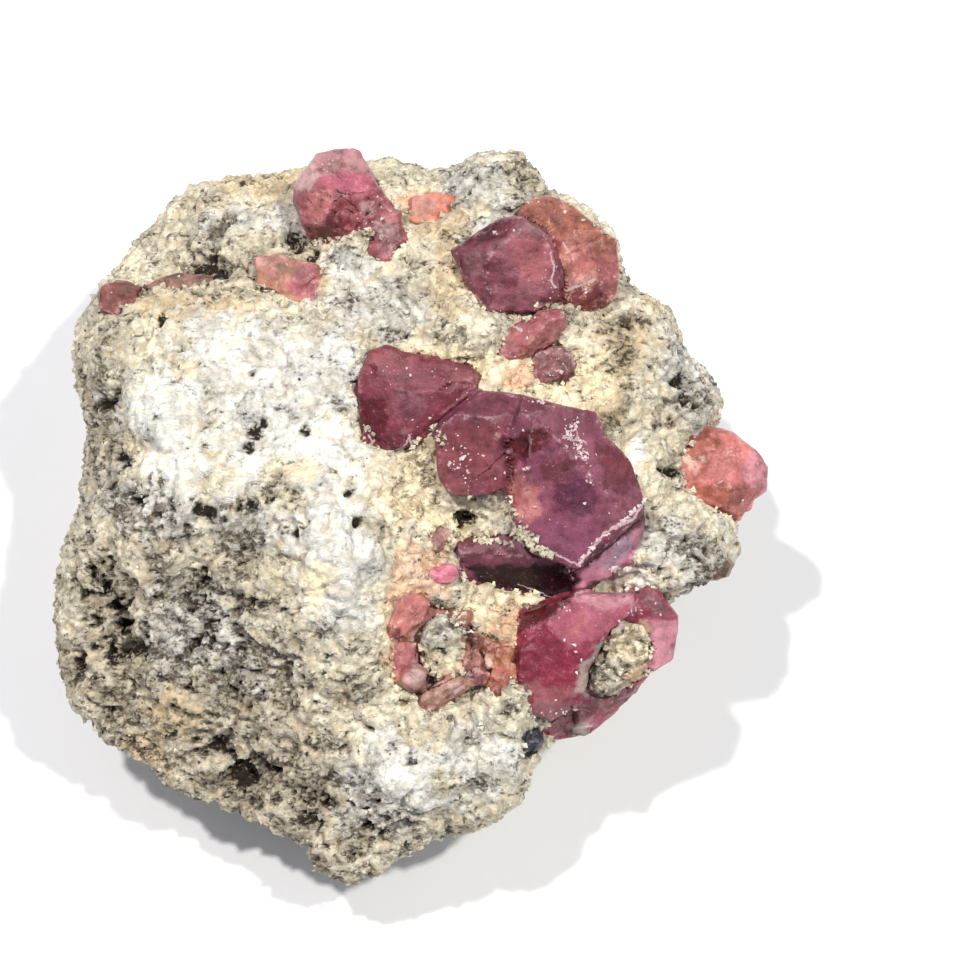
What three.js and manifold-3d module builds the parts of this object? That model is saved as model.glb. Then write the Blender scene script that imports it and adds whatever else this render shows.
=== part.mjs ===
// Garnet specimen: pink, plum and wine-red garnets grown on a lump of pale granular skarn.
// Millimetres, +Z up. The lump stands on a flat cut at z = 0, and the origin is the centre of
// the bottom of its bounding box.
//
// The pieces are laid out on the display face: x to the right, y up across the face, z straight
// out of it. The finished group is tilted back by DISPLAY_TILT, so that it stands on the cut.

import * as THREE from 'three';
import { ImprovedNoise } from 'three/addons/math/ImprovedNoise.js';
import { mergeVertices } from 'three/addons/utils/BufferGeometryUtils.js';
import Module from 'manifold-3d';

const wasm = await Module();
wasm.setup();

// ---------------------------------------------------------------- driving dimensions

const DISPLAY_TILT = 24;      // degrees that the display face leans back from level
const BASE_DROP = 16;         // from the middle of the face straight down to the flat cut
const FRONT_RISE = 16;        // how far the front bulges out of the rim
const UNDERCUT = 1.45;        // the back would round in to a point over this many rim heights
const UNDERCUT_LEAST = 3;     // and this much more
const ROUNDNESS = 2.4;        // of the front: 2 would be an ellipsoid, more is boxier
const BACK_ROUNDNESS = 2;
const RIM_FALL = 0.2;         // the rim falls back this much for each mm up the face
const FOOT_REACH = 29;        // the rim's corners fade to this radius toward the foot
const FOOT_FADE = 0.8;        // as far as this at the very foot
const RIM_FADE = 3;           // how soon lumps and hollows set in from the rim
const FALL_TURN = [-0.1, 0.5];  // sine of the angle where the wall's fall turns from below to above
const SURFACE_DETAIL = 14;    // subdivision of the lump's surface
const SEAT_GAP = 0.3;         // clearance between a crystal and what it sits in

const LUMP_SEED = 3.7;        // where the lumps are read from the noise

const LUMP_CENTRE = new THREE.Vector2(-2, -1);

// The lump's rim, clockwise from the top crystal, as seen straight onto the display face.
const RIM = [
  [-3.4, 32.4], [1.5, 30.6], [6.5, 32.6], [9.9, 32.1], [11.3, 29.3], [15.1, 27.6],
  [17.7, 25.4], [18.3, 20.6], [21.1, 19.6], [22.8, 17.7], [24.2, 13.8], [27.3, 10.7],
  [25.6, 7.4], [25.7, 0.8], [28.3, -0.9], [28.1, -4.2], [24.8, -6.0], [22.0, -7.2],
  [21.0, -10.4], [18.6, -13.6], [14.6, -16.8], [11.5, -19.8], [10.1, -22.1], [8.8, -25.2],
  [4.6, -27.6], [0.2, -28.4], [-3.0, -31.0], [-6.1, -32.4], [-8.4, -30.6], [-9.8, -28.0],
  [-15.6, -26.3], [-20.4, -24.3], [-25.2, -20.7], [-29.9, -17.3], [-31.4, -12.0],
  [-31.6, -4.7], [-29.8, 0.3], [-28.8, 6.5], [-29.9, 11.6], [-30.5, 17.1], [-27.0, 22.2],
  [-23.0, 27.3], [-20.3, 29.6], [-14.3, 30.9], [-9.0, 31.1],
].map(([x, y]) => new THREE.Vector2(x, y));

// Broken faces that cut the front: a point on each, the way it looks and its lean.
const BROKEN_FACES = [
  { at: [-15, 9, 14.5], toward: 104, lean: 17 },    // the broad white face
  { at: [-12, -3, 17.5], toward: 232, lean: 28 },   // the dark slope at the lower left
  { at: [1, -20, 15.0], toward: 275, lean: 16 },    // the lower ledge
  { at: [19, 5, 11.5], toward: 12, lean: 24 },      // the cream slope at the right
  { at: [3, 24, 9.0], toward: 88, lean: 24 },       // the top
];
const CREST = 1.6;            // how far the crests between broken faces are worn round
const SWELL = 1.25;           // the dome that the faces cut stands this much higher
const LEAST_SWELL = 0.25;     // and no face or hollow cuts it lower than this

// Lumps (rise above 0) and hollows (below 0) on the front: centre, half-widths, turn, and how
// steep the edge is, from 1 for a soft swell to 3 for a ledge.
const RELIEF = [
  { at: [2.8, -5.0], half: [6.4, 12.5], turn: 6, rise: -4.2, edge: 2.5 },  // stained recess
  { at: [-18, 27.0], half: [13, 7.0], turn: 8, rise: -3.4, edge: 2.5 },    // upper left terrace
  { at: [-17.5, 20.8], half: [14, 2.2], turn: -6, rise: -2.4, edge: 1 },   // groove of crystals
  { at: [-19.5, 22.8], half: [3.2, 1.8], turn: -20, rise: -2.4, edge: 1 }, // dark pit behind it
  { at: [-8.4, 24.0], half: [2.2, 2.4], turn: 0, rise: -2.6, edge: 1 },
  { at: [-8.2, -1.6], half: [7.0, 3.0], turn: -58, rise: 1.8, edge: 1.5 }, // white nodules
  { at: [-7.6, 16.5], half: [5.5, 2.8], turn: -10, rise: 1.3, edge: 1.5 },
  { at: [-4.4, 8.0], half: [2.4, 3.2], turn: -15, rise: -2.0, edge: 1 },   // at the left crystal
  { at: [-9.8, 18.6], half: [3.4, 2.0], turn: -25, rise: -2.6, edge: 1 },  // at the wedge
  { at: [1.6, 26.4], half: [2.8, 1.6], turn: 0, rise: -1.2, edge: 1 },     // at the salmon one
  { at: [15.6, 17.4], half: [3.0, 1.5], turn: 0, rise: -2.2, edge: 1 },    // at the orange one
  { at: [3.5, 17.8], half: [5.0, 3.4], turn: -25, rise: 1.4, edge: 1.5 },
  { at: [7.6, 30.0], half: [4.4, 2.8], turn: -12, rise: 2.8, edge: 1.5 },  // lump at the top
  { at: [-27.2, 9.8], half: [1.9, 2.6], turn: 0, rise: -2.8, edge: 1 },
  { at: [-26.2, -6.5], half: [2.0, 4.8], turn: 10, rise: -2.4, edge: 1 },
  { at: [-20, -6.5], half: [7.5, 1.6], turn: 35, rise: -1.7, edge: 1 },
  { at: [-19, -15.0], half: [5.5, 3.4], turn: 30, rise: 1.4, edge: 1.5 },
  { at: [-14.6, -22.6], half: [2.6, 1.8], turn: 20, rise: -2.4, edge: 1 },
  { at: [-7.0, -14.5], half: [3.2, 5.5], turn: -20, rise: 1.5, edge: 1.5 },
  { at: [-6.2, -29.6], half: [3.0, 3.2], turn: 0, rise: 1.8, edge: 1.5 },  // bottom knob
  { at: [0.4, -23.0], half: [3.6, 3.8], turn: 0, rise: 2.0, edge: 1.5 },
  { at: [5.4, -20.0], half: [1.4, 4.4], turn: 20, rise: -1.7, edge: 1 },
  { at: [20.6, 15.6], half: [4.6, 3.2], turn: -40, rise: 1.8, edge: 1.5 },
  { at: [22.0, 9.5], half: [3.2, 1.4], turn: 55, rise: -1.8, edge: 1 },
  { at: [24.2, -2.4], half: [4.2, 3.6], turn: -25, rise: 2.6, edge: 1.5 }, // pale lobe
  { at: [23.0, 4.4], half: [1.9, 3.8], turn: 10, rise: -3.4, edge: 1 },    // at the right one
  { at: [11.5, -5.0], half: [8.5, 3.2], turn: -16, rise: -3.4, edge: 2 },  // under the crystal
  { at: [8.4, -7.8], half: [4.2, 1.8], turn: 0, rise: -1.2, edge: 1 },
  { at: [15.5, -12.5], half: [7.5, 6.5], turn: 0, rise: -2.6, edge: 2 },
  { at: [2.4, -11.2], half: [3.4, 4.0], turn: 0, rise: -2.2, edge: 1.5 },  // inside the ring
];

// Rough lumps all over: size across, and height on the front and on the sides and back.
const LUMPS = [
  { across: 13, front: 1.0, back: 3.0 },
  { across: 6.2, front: 1.3, back: 2.0 },
];
// The lumps' own zero: on the front they rise and fall, below the rim they only cut in.
const LUMP_ZERO = { front: 0.4, back: 0.85 };

// ---------------------------------------------------------------- small helpers

const toRadians = THREE.MathUtils.degToRad;
const noise = new ImprovedNoise();

function fromDegrees(toward, lean) {
  const across = Math.sin(toRadians(lean));
  const angle = toRadians(toward);
  return new THREE.Vector3(
    across * Math.cos(angle),
    across * Math.sin(angle),
    Math.cos(toRadians(lean)),
  );
}

const UP = fromDegrees(90, DISPLAY_TILT);     // straight up, seen from the display face

// The wall under the upper rim falls straight down; under the lower rim it tucks in, square to
// the display face. Each falls one millimetre toward the foot.
const FALL_ABOVE = UP.clone().negate();
const FALL_BELOW = new THREE.Vector3(0, 0, -1 / UP.z);

function solid(geometry) {
  const bare = geometry.clone();
  bare.deleteAttribute('normal');
  bare.deleteAttribute('uv');
  const merged = mergeVertices(bare, 1e-4);
  const mesh = new wasm.Mesh({
    numProp: 3,
    vertProperties: new Float32Array(merged.attributes.position.array),
    triVerts: new Uint32Array(merged.index.array),
  });
  return new wasm.Manifold(mesh);
}

function joined(solids) {
  return solids.reduce((sum, next) => sum.add(next));
}

// Cuts away what lies beyond a flat face through a point.
function cutFlat(body, point, outward) {
  const inward = outward.clone().negate();
  return body.trimByPlane(inward.toArray(), inward.dot(point));
}

// ---------------------------------------------------------------- the lump of matrix

function rimDistance(angle) {
  const ray = new THREE.Vector2(Math.cos(angle), Math.sin(angle));
  let reach = 0;
  RIM.forEach((corner, i) => {
    const from = corner.clone().sub(LUMP_CENTRE);
    const edge = RIM[(i + 1) % RIM.length].clone().sub(corner);
    const facing = ray.cross(edge);
    const along = from.cross(ray) / facing;
    const distance = from.cross(edge) / facing;
    if (along >= 0 && along <= 1 && distance > reach) reach = distance;
  });
  return reach;
}

function smoothMin(a, b, width) {
  const mix = Math.max(width - Math.abs(a - b), 0) / width;
  return Math.min(a, b) - mix * mix * width / 4;
}

function faceHeight({ at, toward, lean }, x, y) {
  const normal = fromDegrees(toward, lean);
  return at[2] - (normal.x * (x - at[0]) + normal.y * (y - at[1])) / normal.z;
}

function reliefHeight({ at, half, turn, rise, edge }, x, y) {
  const angle = toRadians(turn);
  const dx = x - at[0];
  const dy = y - at[1];
  const u = (dx * Math.cos(angle) + dy * Math.sin(angle)) / half[0];
  const v = (dy * Math.cos(angle) - dx * Math.sin(angle)) / half[1];
  return rise * Math.exp(-((u * u + v * v) ** edge));
}

// Rounded lumps with sharp creases between them.
function lumpHeight(point, side) {
  return LUMPS.reduce((sum, grade) => {
    const place = point.clone().divideScalar(grade.across);
    const swell = noise.noise(place.x + LUMP_SEED, place.y, place.z);
    return sum + grade[side] * (2 * Math.abs(swell) - LUMP_ZERO[side]);
  }, 0);
}

function domeShare(rho) {
  return Math.max(1 - rho ** ROUNDNESS, 0) ** (1 / ROUNDNESS);
}

function surface(x, y) {
  const dx = x - LUMP_CENTRE.x;
  const dy = y - LUMP_CENTRE.y;
  const rho = Math.hypot(dx, dy) / rimDistance(Math.atan2(dy, dx));
  const rim = -RIM_FALL * y;
  const dome = FRONT_RISE * domeShare(rho);
  const inner = Math.min(1, RIM_FADE * domeShare(rho));
  const broken = BROKEN_FACES.reduce(
    (height, face) => smoothMin(height, faceHeight(face, x, y), CREST),
    rim + dome * SWELL,
  );
  const relief = RELIEF.reduce((sum, spot) => sum + reliefHeight(spot, x, y), 0);
  return Math.max(broken + relief * inner, rim + LEAST_SWELL * dome);
}

function lumpPoint(direction) {
  const front = direction.z >= 0;
  const across = Math.hypot(direction.x, direction.y);
  const roundness = front ? ROUNDNESS : BACK_ROUNDNESS;
  const size = (across ** roundness + Math.abs(direction.z) ** roundness) ** (-1 / roundness);
  const depth = Math.abs(direction.z) * size;
  const angle = Math.atan2(direction.y, direction.x);
  const fade = front ? 0 : FOOT_FADE * depth;
  const reach = across * size * THREE.MathUtils.lerp(rimDistance(angle), FOOT_REACH, fade);
  const x = LUMP_CENTRE.x + reach * Math.cos(angle);
  const y = LUMP_CENTRE.y + reach * Math.sin(angle);
  const roughness = Math.min(1, RIM_FADE * depth);
  const point = new THREE.Vector3(x, y, front ? surface(x, y) : -RIM_FALL * y);
  if (front) {
    point.z += roughness * lumpHeight(point, 'front');
    return point;
  }
  const rimHeight = BASE_DROP + point.dot(UP);
  const above = THREE.MathUtils.smoothstep(Math.sin(angle), ...FALL_TURN);
  const fall = FALL_BELOW.clone().lerp(FALL_ABOVE, above);
  point.addScaledVector(fall, depth * (UNDERCUT * rimHeight + UNDERCUT_LEAST));
  return point.addScaledVector(direction, roughness * lumpHeight(point, 'back'));
}

function lump() {
  const ball = new THREE.IcosahedronGeometry(1, SURFACE_DETAIL);
  const places = ball.attributes.position;
  const direction = new THREE.Vector3();
  for (let i = 0; i < places.count; i += 1) {
    direction.fromBufferAttribute(places, i).normalize();
    places.setXYZ(i, ...lumpPoint(direction));
  }
  const foot = UP.clone().multiplyScalar(-BASE_DROP);
  return cutFlat(solid(ball), foot, UP.clone().negate());
}

// ---------------------------------------------------------------- shapes of the pieces

// A closed body through rings of one outline, from the bottom up: each level has its height
// and the outline's scale about the middle there. The middle sees every corner.
function loft(outline, middle, levels) {
  const shape = outline.map(([x, y]) => new THREE.Vector2(x, y));
  if (THREE.ShapeUtils.isClockWise(shape)) shape.reverse();
  const count = shape.length;
  const places = [];
  const faces = [];
  levels.forEach(([height, scale]) => {
    shape.forEach(({ x, y }) => {
      places.push(middle[0] + (x - middle[0]) * scale, middle[1] + (y - middle[1]) * scale);
      places.push(height);
    });
  });
  const bottomMiddle = places.length / 3;
  const topMiddle = bottomMiddle + 1;
  places.push(...middle, levels[0][0], ...middle, levels.at(-1)[0]);
  const top = count * (levels.length - 1);
  for (let i = 0; i < count; i += 1) {
    const next = (i + 1) % count;
    faces.push(bottomMiddle, next, i, topMiddle, top + i, top + next);
    for (let a = i, b = next; a < top; a += count, b += count) {
      faces.push(a, b, b + count, a, b + count, a + count);
    }
  }
  const geometry = new THREE.BufferGeometry();
  geometry.setAttribute('position', new THREE.Float32BufferAttribute(places, 3));
  geometry.setIndex(faces);
  return solid(geometry);
}

// A crystal, or one block of it. The outline is its widest section; it narrows to a shoulder
// above and a root below, and flat facets through the apex shape the top. Each facet has the
// way it looks, its lean, and how far past the apex it lies.
function crystal(spec, grow) {
  const { outline, middle, apex, height, facets } = spec;
  const { girdle = 2.5, root = 6, shoulder = 0.75, foot = 0.6 } = spec;
  const reach = outline.reduce((sum, [x, y]) => {
    return sum + Math.hypot(x - middle[0], y - middle[1]) / outline.length;
  }, 0);
  const wider = 1 + 1.15 * grow / reach;
  const levels = [
    [height - root - grow, foot * wider],
    [height - girdle, wider],
    [height + 2 + grow, shoulder * wider],
  ];
  const place = new THREE.Vector3(apex[0], apex[1], height);
  return facets.reduce((body, [toward, lean, past = 0]) => {
    const outward = fromDegrees(toward, lean);
    const point = place.clone().addScaledVector(outward, past + grow);
    return cutFlat(body, point, outward);
  }, loft(outline, middle, levels));
}

// A small whole garnet: twelve rhombic faces at one distance from its middle.
function garnet({ at, height, size, turn = [0, 0, 0] }, grow) {
  const distance = size / 2 + grow;
  const block = new THREE.BoxGeometry(3 * distance, 3 * distance, 3 * distance);
  let body = solid(block);
  for (const [a, b] of [[1, 1], [1, -1], [-1, 1], [-1, -1]]) {
    for (const face of [[a, b, 0], [a, 0, b], [0, a, b]]) {
      const outward = new THREE.Vector3(...face).normalize();
      body = cutFlat(body, outward.clone().multiplyScalar(distance), outward);
    }
  }
  return body.rotate(turn).translate([...at, height]);
}

// A rough lump of matrix with half-sizes along x, y and z.
function pebble({ at, height, half, turn = 0 }, grow) {
  const ball = new THREE.IcosahedronGeometry(1, 2);
  const places = ball.attributes.position;
  const point = new THREE.Vector3();
  for (let i = 0; i < places.count; i += 1) {
    point.fromBufferAttribute(places, i);
    const swell = 1 + 0.22 * noise.noise(point.x * 2 + at[0], point.y * 2, point.z * 2 + at[1]);
    point.multiplyScalar(swell);
    places.setXYZ(
      i,
      point.x * (half[0] + grow),
      point.y * (half[1] + grow),
      point.z * (half[2] + grow),
    );
  }
  return solid(ball).rotate([0, 0, turn]).translate([...at, height]);
}

// ---------------------------------------------------------------- the pieces

const MAIN_TOP = surface(12, 2) + 4.2;      // apex of the large crystal
const RASPBERRY_TOP = surface(12.5, -11) + 2.4;
const RING_TOP = surface(-1.5, -9) + 1.8;

const LEFT = {
  name: 'left_garnet',
  colour: '#7d2c43',
  crystals: [{
    outline: [
      [-5.1, 11.7], [-3.9, 14.5], [-2.4, 15.0], [1.9, 13.9], [5.2, 13.2], [5.9, 12.2],
      [5.5, 11.0], [1.9, 8.1], [0.2, 5.9], [-2.2, 5.8], [-4.5, 6.7],
    ],
    middle: [0, 10.4],
    apex: [-0.1, 10.5],
    height: surface(0, 10.4) + 2.2,
    facets: [[78, 22], [318, 20], [205, 18], [250, 36, 2.4]],
    shoulder: 0.85,
  }],
};

const MAIN = {
  name: 'main_garnet',
  colour: '#7a3350',
  crystals: [
    {   // the body
      outline: [
        [9.3, 10.7], [13.6, 9.7], [15.9, 9.3], [16.9, 7.0], [18.9, 5.0], [20.2, 1.6],
        [20.0, 0.2], [14.4, -4.7], [12.6, -4.1], [10.2, -3.2], [9.0, -1.5], [8.0, 2.0],
        [7.8, 7.0],
      ],
      middle: [13.5, 3.2],
      apex: [10.7, 4.4],
      height: MAIN_TOP,
      facets: [[300, 16], [15, 30, 1.4], [97, 42, 3.7], [200, 30, 0.5], [60, 40, 4.6]],
      girdle: 3.5,
      root: 8,
      shoulder: 0.92,
    },
    {   // the upper left lobe
      outline: [
        [1.7, 7.2], [2.3, 8.1], [5.8, 11.1], [9.3, 10.7], [11.5, 8.5], [10.6, 5.0],
        [8.0, 2.3], [5.0, 1.6], [3.1, 1.9], [2.1, 3.4],
      ],
      middle: [6.2, 6.2],
      apex: [6.4, 7.0],
      height: MAIN_TOP - 0.6,
      facets: [[232, 20], [97, 42, 1.4], [190, 46, 2.6], [330, 14, 0.4], [265, 50, 3.2]],
      girdle: 3,
      root: 8,
      shoulder: 0.9,
    },
    {   // the pale side below the body's edge
      outline: [
        [20.2, 1.2], [20.1, -1.3], [19.0, -4.0], [16.9, -5.6], [14.1, -6.5], [12.6, -5.0],
        [13.5, -2.0], [17.5, 1.0],
      ],
      middle: [16.6, -2.4],
      apex: [16.2, -1.8],
      height: MAIN_TOP - 3.6,
      facets: [[312, 34], [350, 50, 2.6], [280, 50, 2.8]],
      girdle: 2.5,
      root: 6,
    },
    {   // the dark shelf under it
      outline: [
        [3.5, -2.3], [8.0, -1.3], [12.0, -2.0], [15.0, -4.6], [15.2, -5.6], [14.0, -6.5],
        [12.5, -7.3], [7.8, -6.9], [5.0, -6.0], [4.1, -4.7],
      ],
      middle: [9.4, -4.4],
      apex: [8.0, -3.4],
      height: MAIN_TOP - 4.4,
      facets: [[88, 12], [266, 42], [200, 40, 3.4]],
      girdle: 3,
      root: 6,
      shoulder: 0.9,
    },
  ],
};

const TOP = {
  name: 'top_garnet',
  colour: '#b0566a',
  crystals: [
    {
      outline: [
        [-8.9, 32.4], [-6.0, 33.0], [-4.7, 32.4], [-2.8, 28.9], [-2.3, 27.6], [-4.0, 25.2],
        [-7.2, 24.1], [-8.8, 23.8], [-10.0, 25.4], [-11.0, 28.0], [-10.9, 29.5],
      ],
      middle: [-6.8, 28.4],
      apex: [-7.4, 28.2],
      height: surface(-7, 27) + 5.5,
      facets: [[76, 38], [160, 52, 1.1], [206, 26], [318, 30], [262, 62, 1.6], [20, 50, 2.6]],
      girdle: 4,
      root: 9.5,
      shoulder: 0.8,
      foot: 0.55,
    },
  ],
  garnets: [
    { at: [-2.9, 27.3], size: 2.0, sunk: -1.6, turn: [20, 35, 10] },
    { at: [-2.2, 26.2], size: 2.2, sunk: -0.9, turn: [50, 10, 40] },
    { at: [-2.1, 24.9], size: 2.3, sunk: -0.5, turn: [15, 50, 70] },
    { at: [-2.9, 23.8], size: 2.0, sunk: -0.3, turn: [65, 25, 15] },
    { at: [-3.6, 25.7], size: 2.2, sunk: -1.2, turn: [40, 60, 30] },
  ],
};

const SALMON = {
  name: 'salmon_garnet',
  colour: '#d4786c',
  crystals: [{
    outline: [[-0.5, 28.5], [1.7, 28.9], [3.8, 28.5], [3.4, 26.7], [1.7, 25.6], [-0.6, 26.1]],
    middle: [1.6, 27.3],
    apex: [1.6, 27.3],
    height: surface(1.6, 27.3) + 1.6,
    facets: [[70, 16], [290, 15, 0.3]],
    girdle: 1,
    root: 4,
    shoulder: 0.8,
  }],
};

const PURPLE = {
  name: 'purple_garnet',
  colour: '#7b4156',
  crystals: [{
    outline: [
      [3.1, 23.4], [7.2, 26.2], [9.5, 26.5], [11.6, 25.0], [13.1, 21.2], [12.9, 19.0],
      [11.6, 18.2], [8.6, 17.7], [6.1, 17.9], [4.8, 19.9],
    ],
    middle: [8.6, 22.0],
    apex: [9.0, 24.2],
    height: surface(8.5, 22) + 4.6,
    facets: [[300, 13], [132, 36, 0.4], [205, 34, 1.8], [262, 46, 4.2], [0, 52, 3.0]],
    girdle: 3,
    root: 8,
    shoulder: 0.88,
  }],
};

const ORANGE = {
  name: 'orange_garnet',
  colour: '#b4604f',
  crystals: [{
    outline: [
      [8.9, 26.8], [10.2, 28.2], [11.7, 28.5], [13.5, 27.8], [18.0, 24.4], [18.1, 20.6],
      [17.8, 18.9], [16.4, 18.3], [14.6, 18.2], [13.6, 17.4], [12.0, 19.0], [10.5, 23.5],
    ],
    middle: [14.0, 23.2],
    apex: [14.2, 23.8],
    height: surface(14, 23) + 4.6,
    facets: [[86, 24], [335, 26, 0.2], [292, 34, 1.4], [40, 40, 2.0], [250, 20, 1.0]],
    girdle: 3,
    root: 8,
    shoulder: 0.9,
  }],
};

const SHARD = {
  name: 'pink_shard',
  colour: '#bb5c68',
  crystals: [{
    outline: [
      [7.2, 13.6], [9.5, 13.9], [10.9, 14.5], [12.8, 15.8], [13.5, 16.9], [13.2, 18.3],
      [11.3, 18.1], [8.6, 16.7], [8.0, 15.8],
    ],
    middle: [10.6, 16.1],
    apex: [11.0, 16.6],
    height: surface(10.6, 16.1) + 2.2,
    facets: [[150, 26], [60, 30, 0.5], [315, 40, 0.3], [220, 22, 0.6]],
    girdle: 2,
    root: 5,
    shoulder: 0.85,
  }],
};

const DRUSE = {
  name: 'plum_druse',
  colour: '#84505f',
  garnets: [
    { at: [11.4, 13.7], size: 1.6, sunk: 0.2, turn: [10, 30, 50] },
    { at: [12.4, 14.2], size: 1.8, sunk: 0.2, turn: [40, 15, 20] },
    { at: [13.2, 13.5], size: 1.6, sunk: 0.2, turn: [60, 40, 0] },
    { at: [12.3, 12.9], size: 1.9, sunk: 0, turn: [25, 55, 35] },
    { at: [13.2, 12.5], size: 1.4, sunk: 0.2, turn: [5, 70, 15] },
    { at: [11.3, 12.5], size: 1.4, sunk: 0.2, turn: [70, 20, 45] },
  ],
};

const RIGHT = {
  name: 'right_garnet',
  colour: '#c5646b',
  crystals: [{
    outline: [
      [24.9, 8.3], [28.2, 7.8], [30.8, 5.9], [31.6, 4.4], [31.5, 2.2], [30.4, 1.5],
      [29.3, -0.2], [26.0, 0.8], [24.1, 1.9], [23.1, 3.6], [23.5, 5.9],
    ],
    middle: [27.2, 4.0],
    apex: [27.0, 4.2],
    height: 7.2,
    facets: [[85, 38, 0.9], [10, 30, 0.4], [250, 34, 0.9], [172, 20, 0.5], [310, 46, 1.6], [0, 0]],
    girdle: 3.6,
    root: 9,
    shoulder: 0.85,
    foot: 0.55,
  }],
  garnets: [
    { at: [28.4, 0.5], height: 2.6, size: 2.0, turn: [30, 20, 0] },
    { at: [27.2, 0.9], height: 3.2, size: 1.8, turn: [10, 50, 30] },
    { at: [29.3, 1.3], height: 2.0, size: 2.0, turn: [60, 15, 20] },
  ],
};

const HOLLOW_FILLING = {
  name: 'hollow_filling',
  colour: '#b9ab8e',
  pebbles: [
    { at: [18.9, -11.5], height: RASPBERRY_TOP - 4.0, half: [2.1, 2.8, 2.2], turn: -12 },
    { at: [17.1, -13.5], height: RASPBERRY_TOP - 4.6, half: [2.2, 1.7, 1.6], turn: 20 },
  ],
};

const RASPBERRY = {
  name: 'raspberry_garnet',
  colour: '#b23a5c',
  crystals: [
    {   // the long block
      outline: [
        [9.2, -8.3], [12.7, -7.0], [14.6, -6.4], [19.4, -6.6], [19.4, -8.2], [17.3, -9.8],
        [15.4, -13.4], [14.8, -16.4], [12.0, -18.0], [9.8, -17.0], [9.0, -14.0],
      ],
      middle: [13.4, -11.2],
      apex: [12.6, -10.0],
      height: RASPBERRY_TOP,
      facets: [[305, 16], [140, 38, 1.1], [88, 34, 2.0], [255, 40, 5.0], [190, 36, 3.2]],
      girdle: 3.5,
      root: 9,
      shoulder: 0.92,
    },
    {   // the pale right side
      outline: [
        [18.6, -6.4], [21.6, -6.7], [23.4, -8.7], [22.8, -12.6], [21.0, -13.8],
        [19.8, -12.0], [18.4, -9.0],
      ],
      middle: [20.9, -9.8],
      apex: [20.8, -9.4],
      height: RASPBERRY_TOP - 2.4,
      facets: [[350, 26, 0.2], [60, 32, 1.0], [250, 12, 0.2], [300, 38, 2.4]],
      girdle: 3,
      root: 8,
      shoulder: 0.88,
    },
    {   // the steps below
      outline: [
        [9.9, -16.4], [14.0, -14.6], [20.3, -14.6], [18.4, -16.9], [15.5, -19.3],
        [12.4, -19.8], [10.4, -19.0],
      ],
      middle: [14.6, -17.0],
      apex: [13.6, -17.2],
      height: RASPBERRY_TOP - 4.8,
      facets: [[275, 26], [330, 24, 0.3], [262, 52, 1.6]],
      girdle: 2.5,
      root: 5,
      shoulder: 0.9,
    },
    {   // the floor of the hollow, which carries the rest
      outline: [
        [10.0, -8.6], [19.0, -7.0], [22.4, -9.0], [21.8, -12.6], [19.6, -15.6],
        [14.5, -18.6], [10.4, -17.6],
      ],
      middle: [16.0, -12.4],
      apex: [16.0, -12.4],
      height: RASPBERRY_TOP - 5.4,
      facets: [[0, 0]],
      girdle: 1,
      root: 5.5,
      foot: 0.7,
    },
  ],
  garnets: [
    { at: [20.6, -7.4], height: RASPBERRY_TOP - 3.0, size: 2.4, turn: [20, 40, 15] },
    { at: [15.0, -17.9], height: RASPBERRY_TOP - 5.6, size: 2.5, turn: [45, 10, 30] },
    { at: [12.0, -18.5], height: RASPBERRY_TOP - 6.0, size: 2.2, turn: [10, 60, 0] },
  ],
};

const RING_FILLING = {
  name: 'ring_filling',
  colour: '#8f8d84',
  pebbles: [
    { at: [2.6, -10.4], height: RING_TOP - 1.6, half: [1.8, 1.5, 1.6], turn: 30 },
    { at: [2.9, -12.2], height: RING_TOP - 1.8, half: [1.7, 1.4, 1.5], turn: -15 },
  ],
};

const RING = {
  name: 'ring_garnet',
  colour: '#b46a5e',
  crystals: [
    {   // the upper left side
      outline: [
        [-0.1, -6.4], [-2.3, -7.8], [-2.4, -11.0], [-0.6, -10.3], [1.0, -9.1], [1.6, -7.3],
      ],
      middle: [-0.5, -8.7],
      apex: [-0.6, -8.8],
      height: RING_TOP,
      facets: [[130, 30], [310, 18], [230, 40, 0.9]],
      girdle: 2,
      root: 5,
      shoulder: 0.9,
    },
    {   // the left side
      outline: [[-2.1, -10.6], [-2.6, -12.9], [-1.9, -14.6], [0.6, -13.2], [0.4, -10.8]],
      middle: [-1.1, -12.4],
      apex: [-1.2, -12.2],
      height: RING_TOP - 0.8,
      facets: [[200, 28], [30, 20], [300, 30, 0.6]],
      girdle: 2,
      root: 4,
      shoulder: 0.85,
    },
    {   // the long lower crystal
      outline: [[0.3, -15.6], [0.6, -16.8], [1.6, -16.9], [5.1, -15.0], [5.2, -13.7], [3.6, -13.4]],
      middle: [2.8, -15.2],
      apex: [2.8, -15.0],
      height: RING_TOP - 0.6,
      facets: [[118, 28], [298, 34], [20, 50, 1.9]],
      girdle: 2,
      root: 4.5,
      shoulder: 0.85,
    },
    {   // the broken back that joins them
      outline: [
        [-1.6, -8.2], [-2.0, -13.6], [0.8, -15.8], [4.8, -14.6], [5.6, -11.2], [4.2, -8.0],
        [1.2, -6.9],
      ],
      middle: [1.8, -11.4],
      apex: [1.8, -11.4],
      height: RING_TOP - 2.6,
      facets: [[0, 0]],
      girdle: 1,
      root: 4,
    },
  ],
  garnets: [
    { at: [0.0, -14.0], height: RING_TOP - 0.9, size: 2.3, turn: [45, 0, 15] },
    { at: [5.0, -12.6], height: RING_TOP - 1.4, size: 1.9, turn: [20, 40, 0] },
    { at: [5.1, -10.9], height: RING_TOP - 1.6, size: 1.7, turn: [60, 10, 30] },
    { at: [5.5, -13.9], height: RING_TOP - 1.6, size: 1.8, turn: [30, 30, 60] },
    { at: [4.2, -8.9], height: RING_TOP - 1.5, size: 1.8, turn: [10, 20, 40] },
  ],
};

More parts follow.
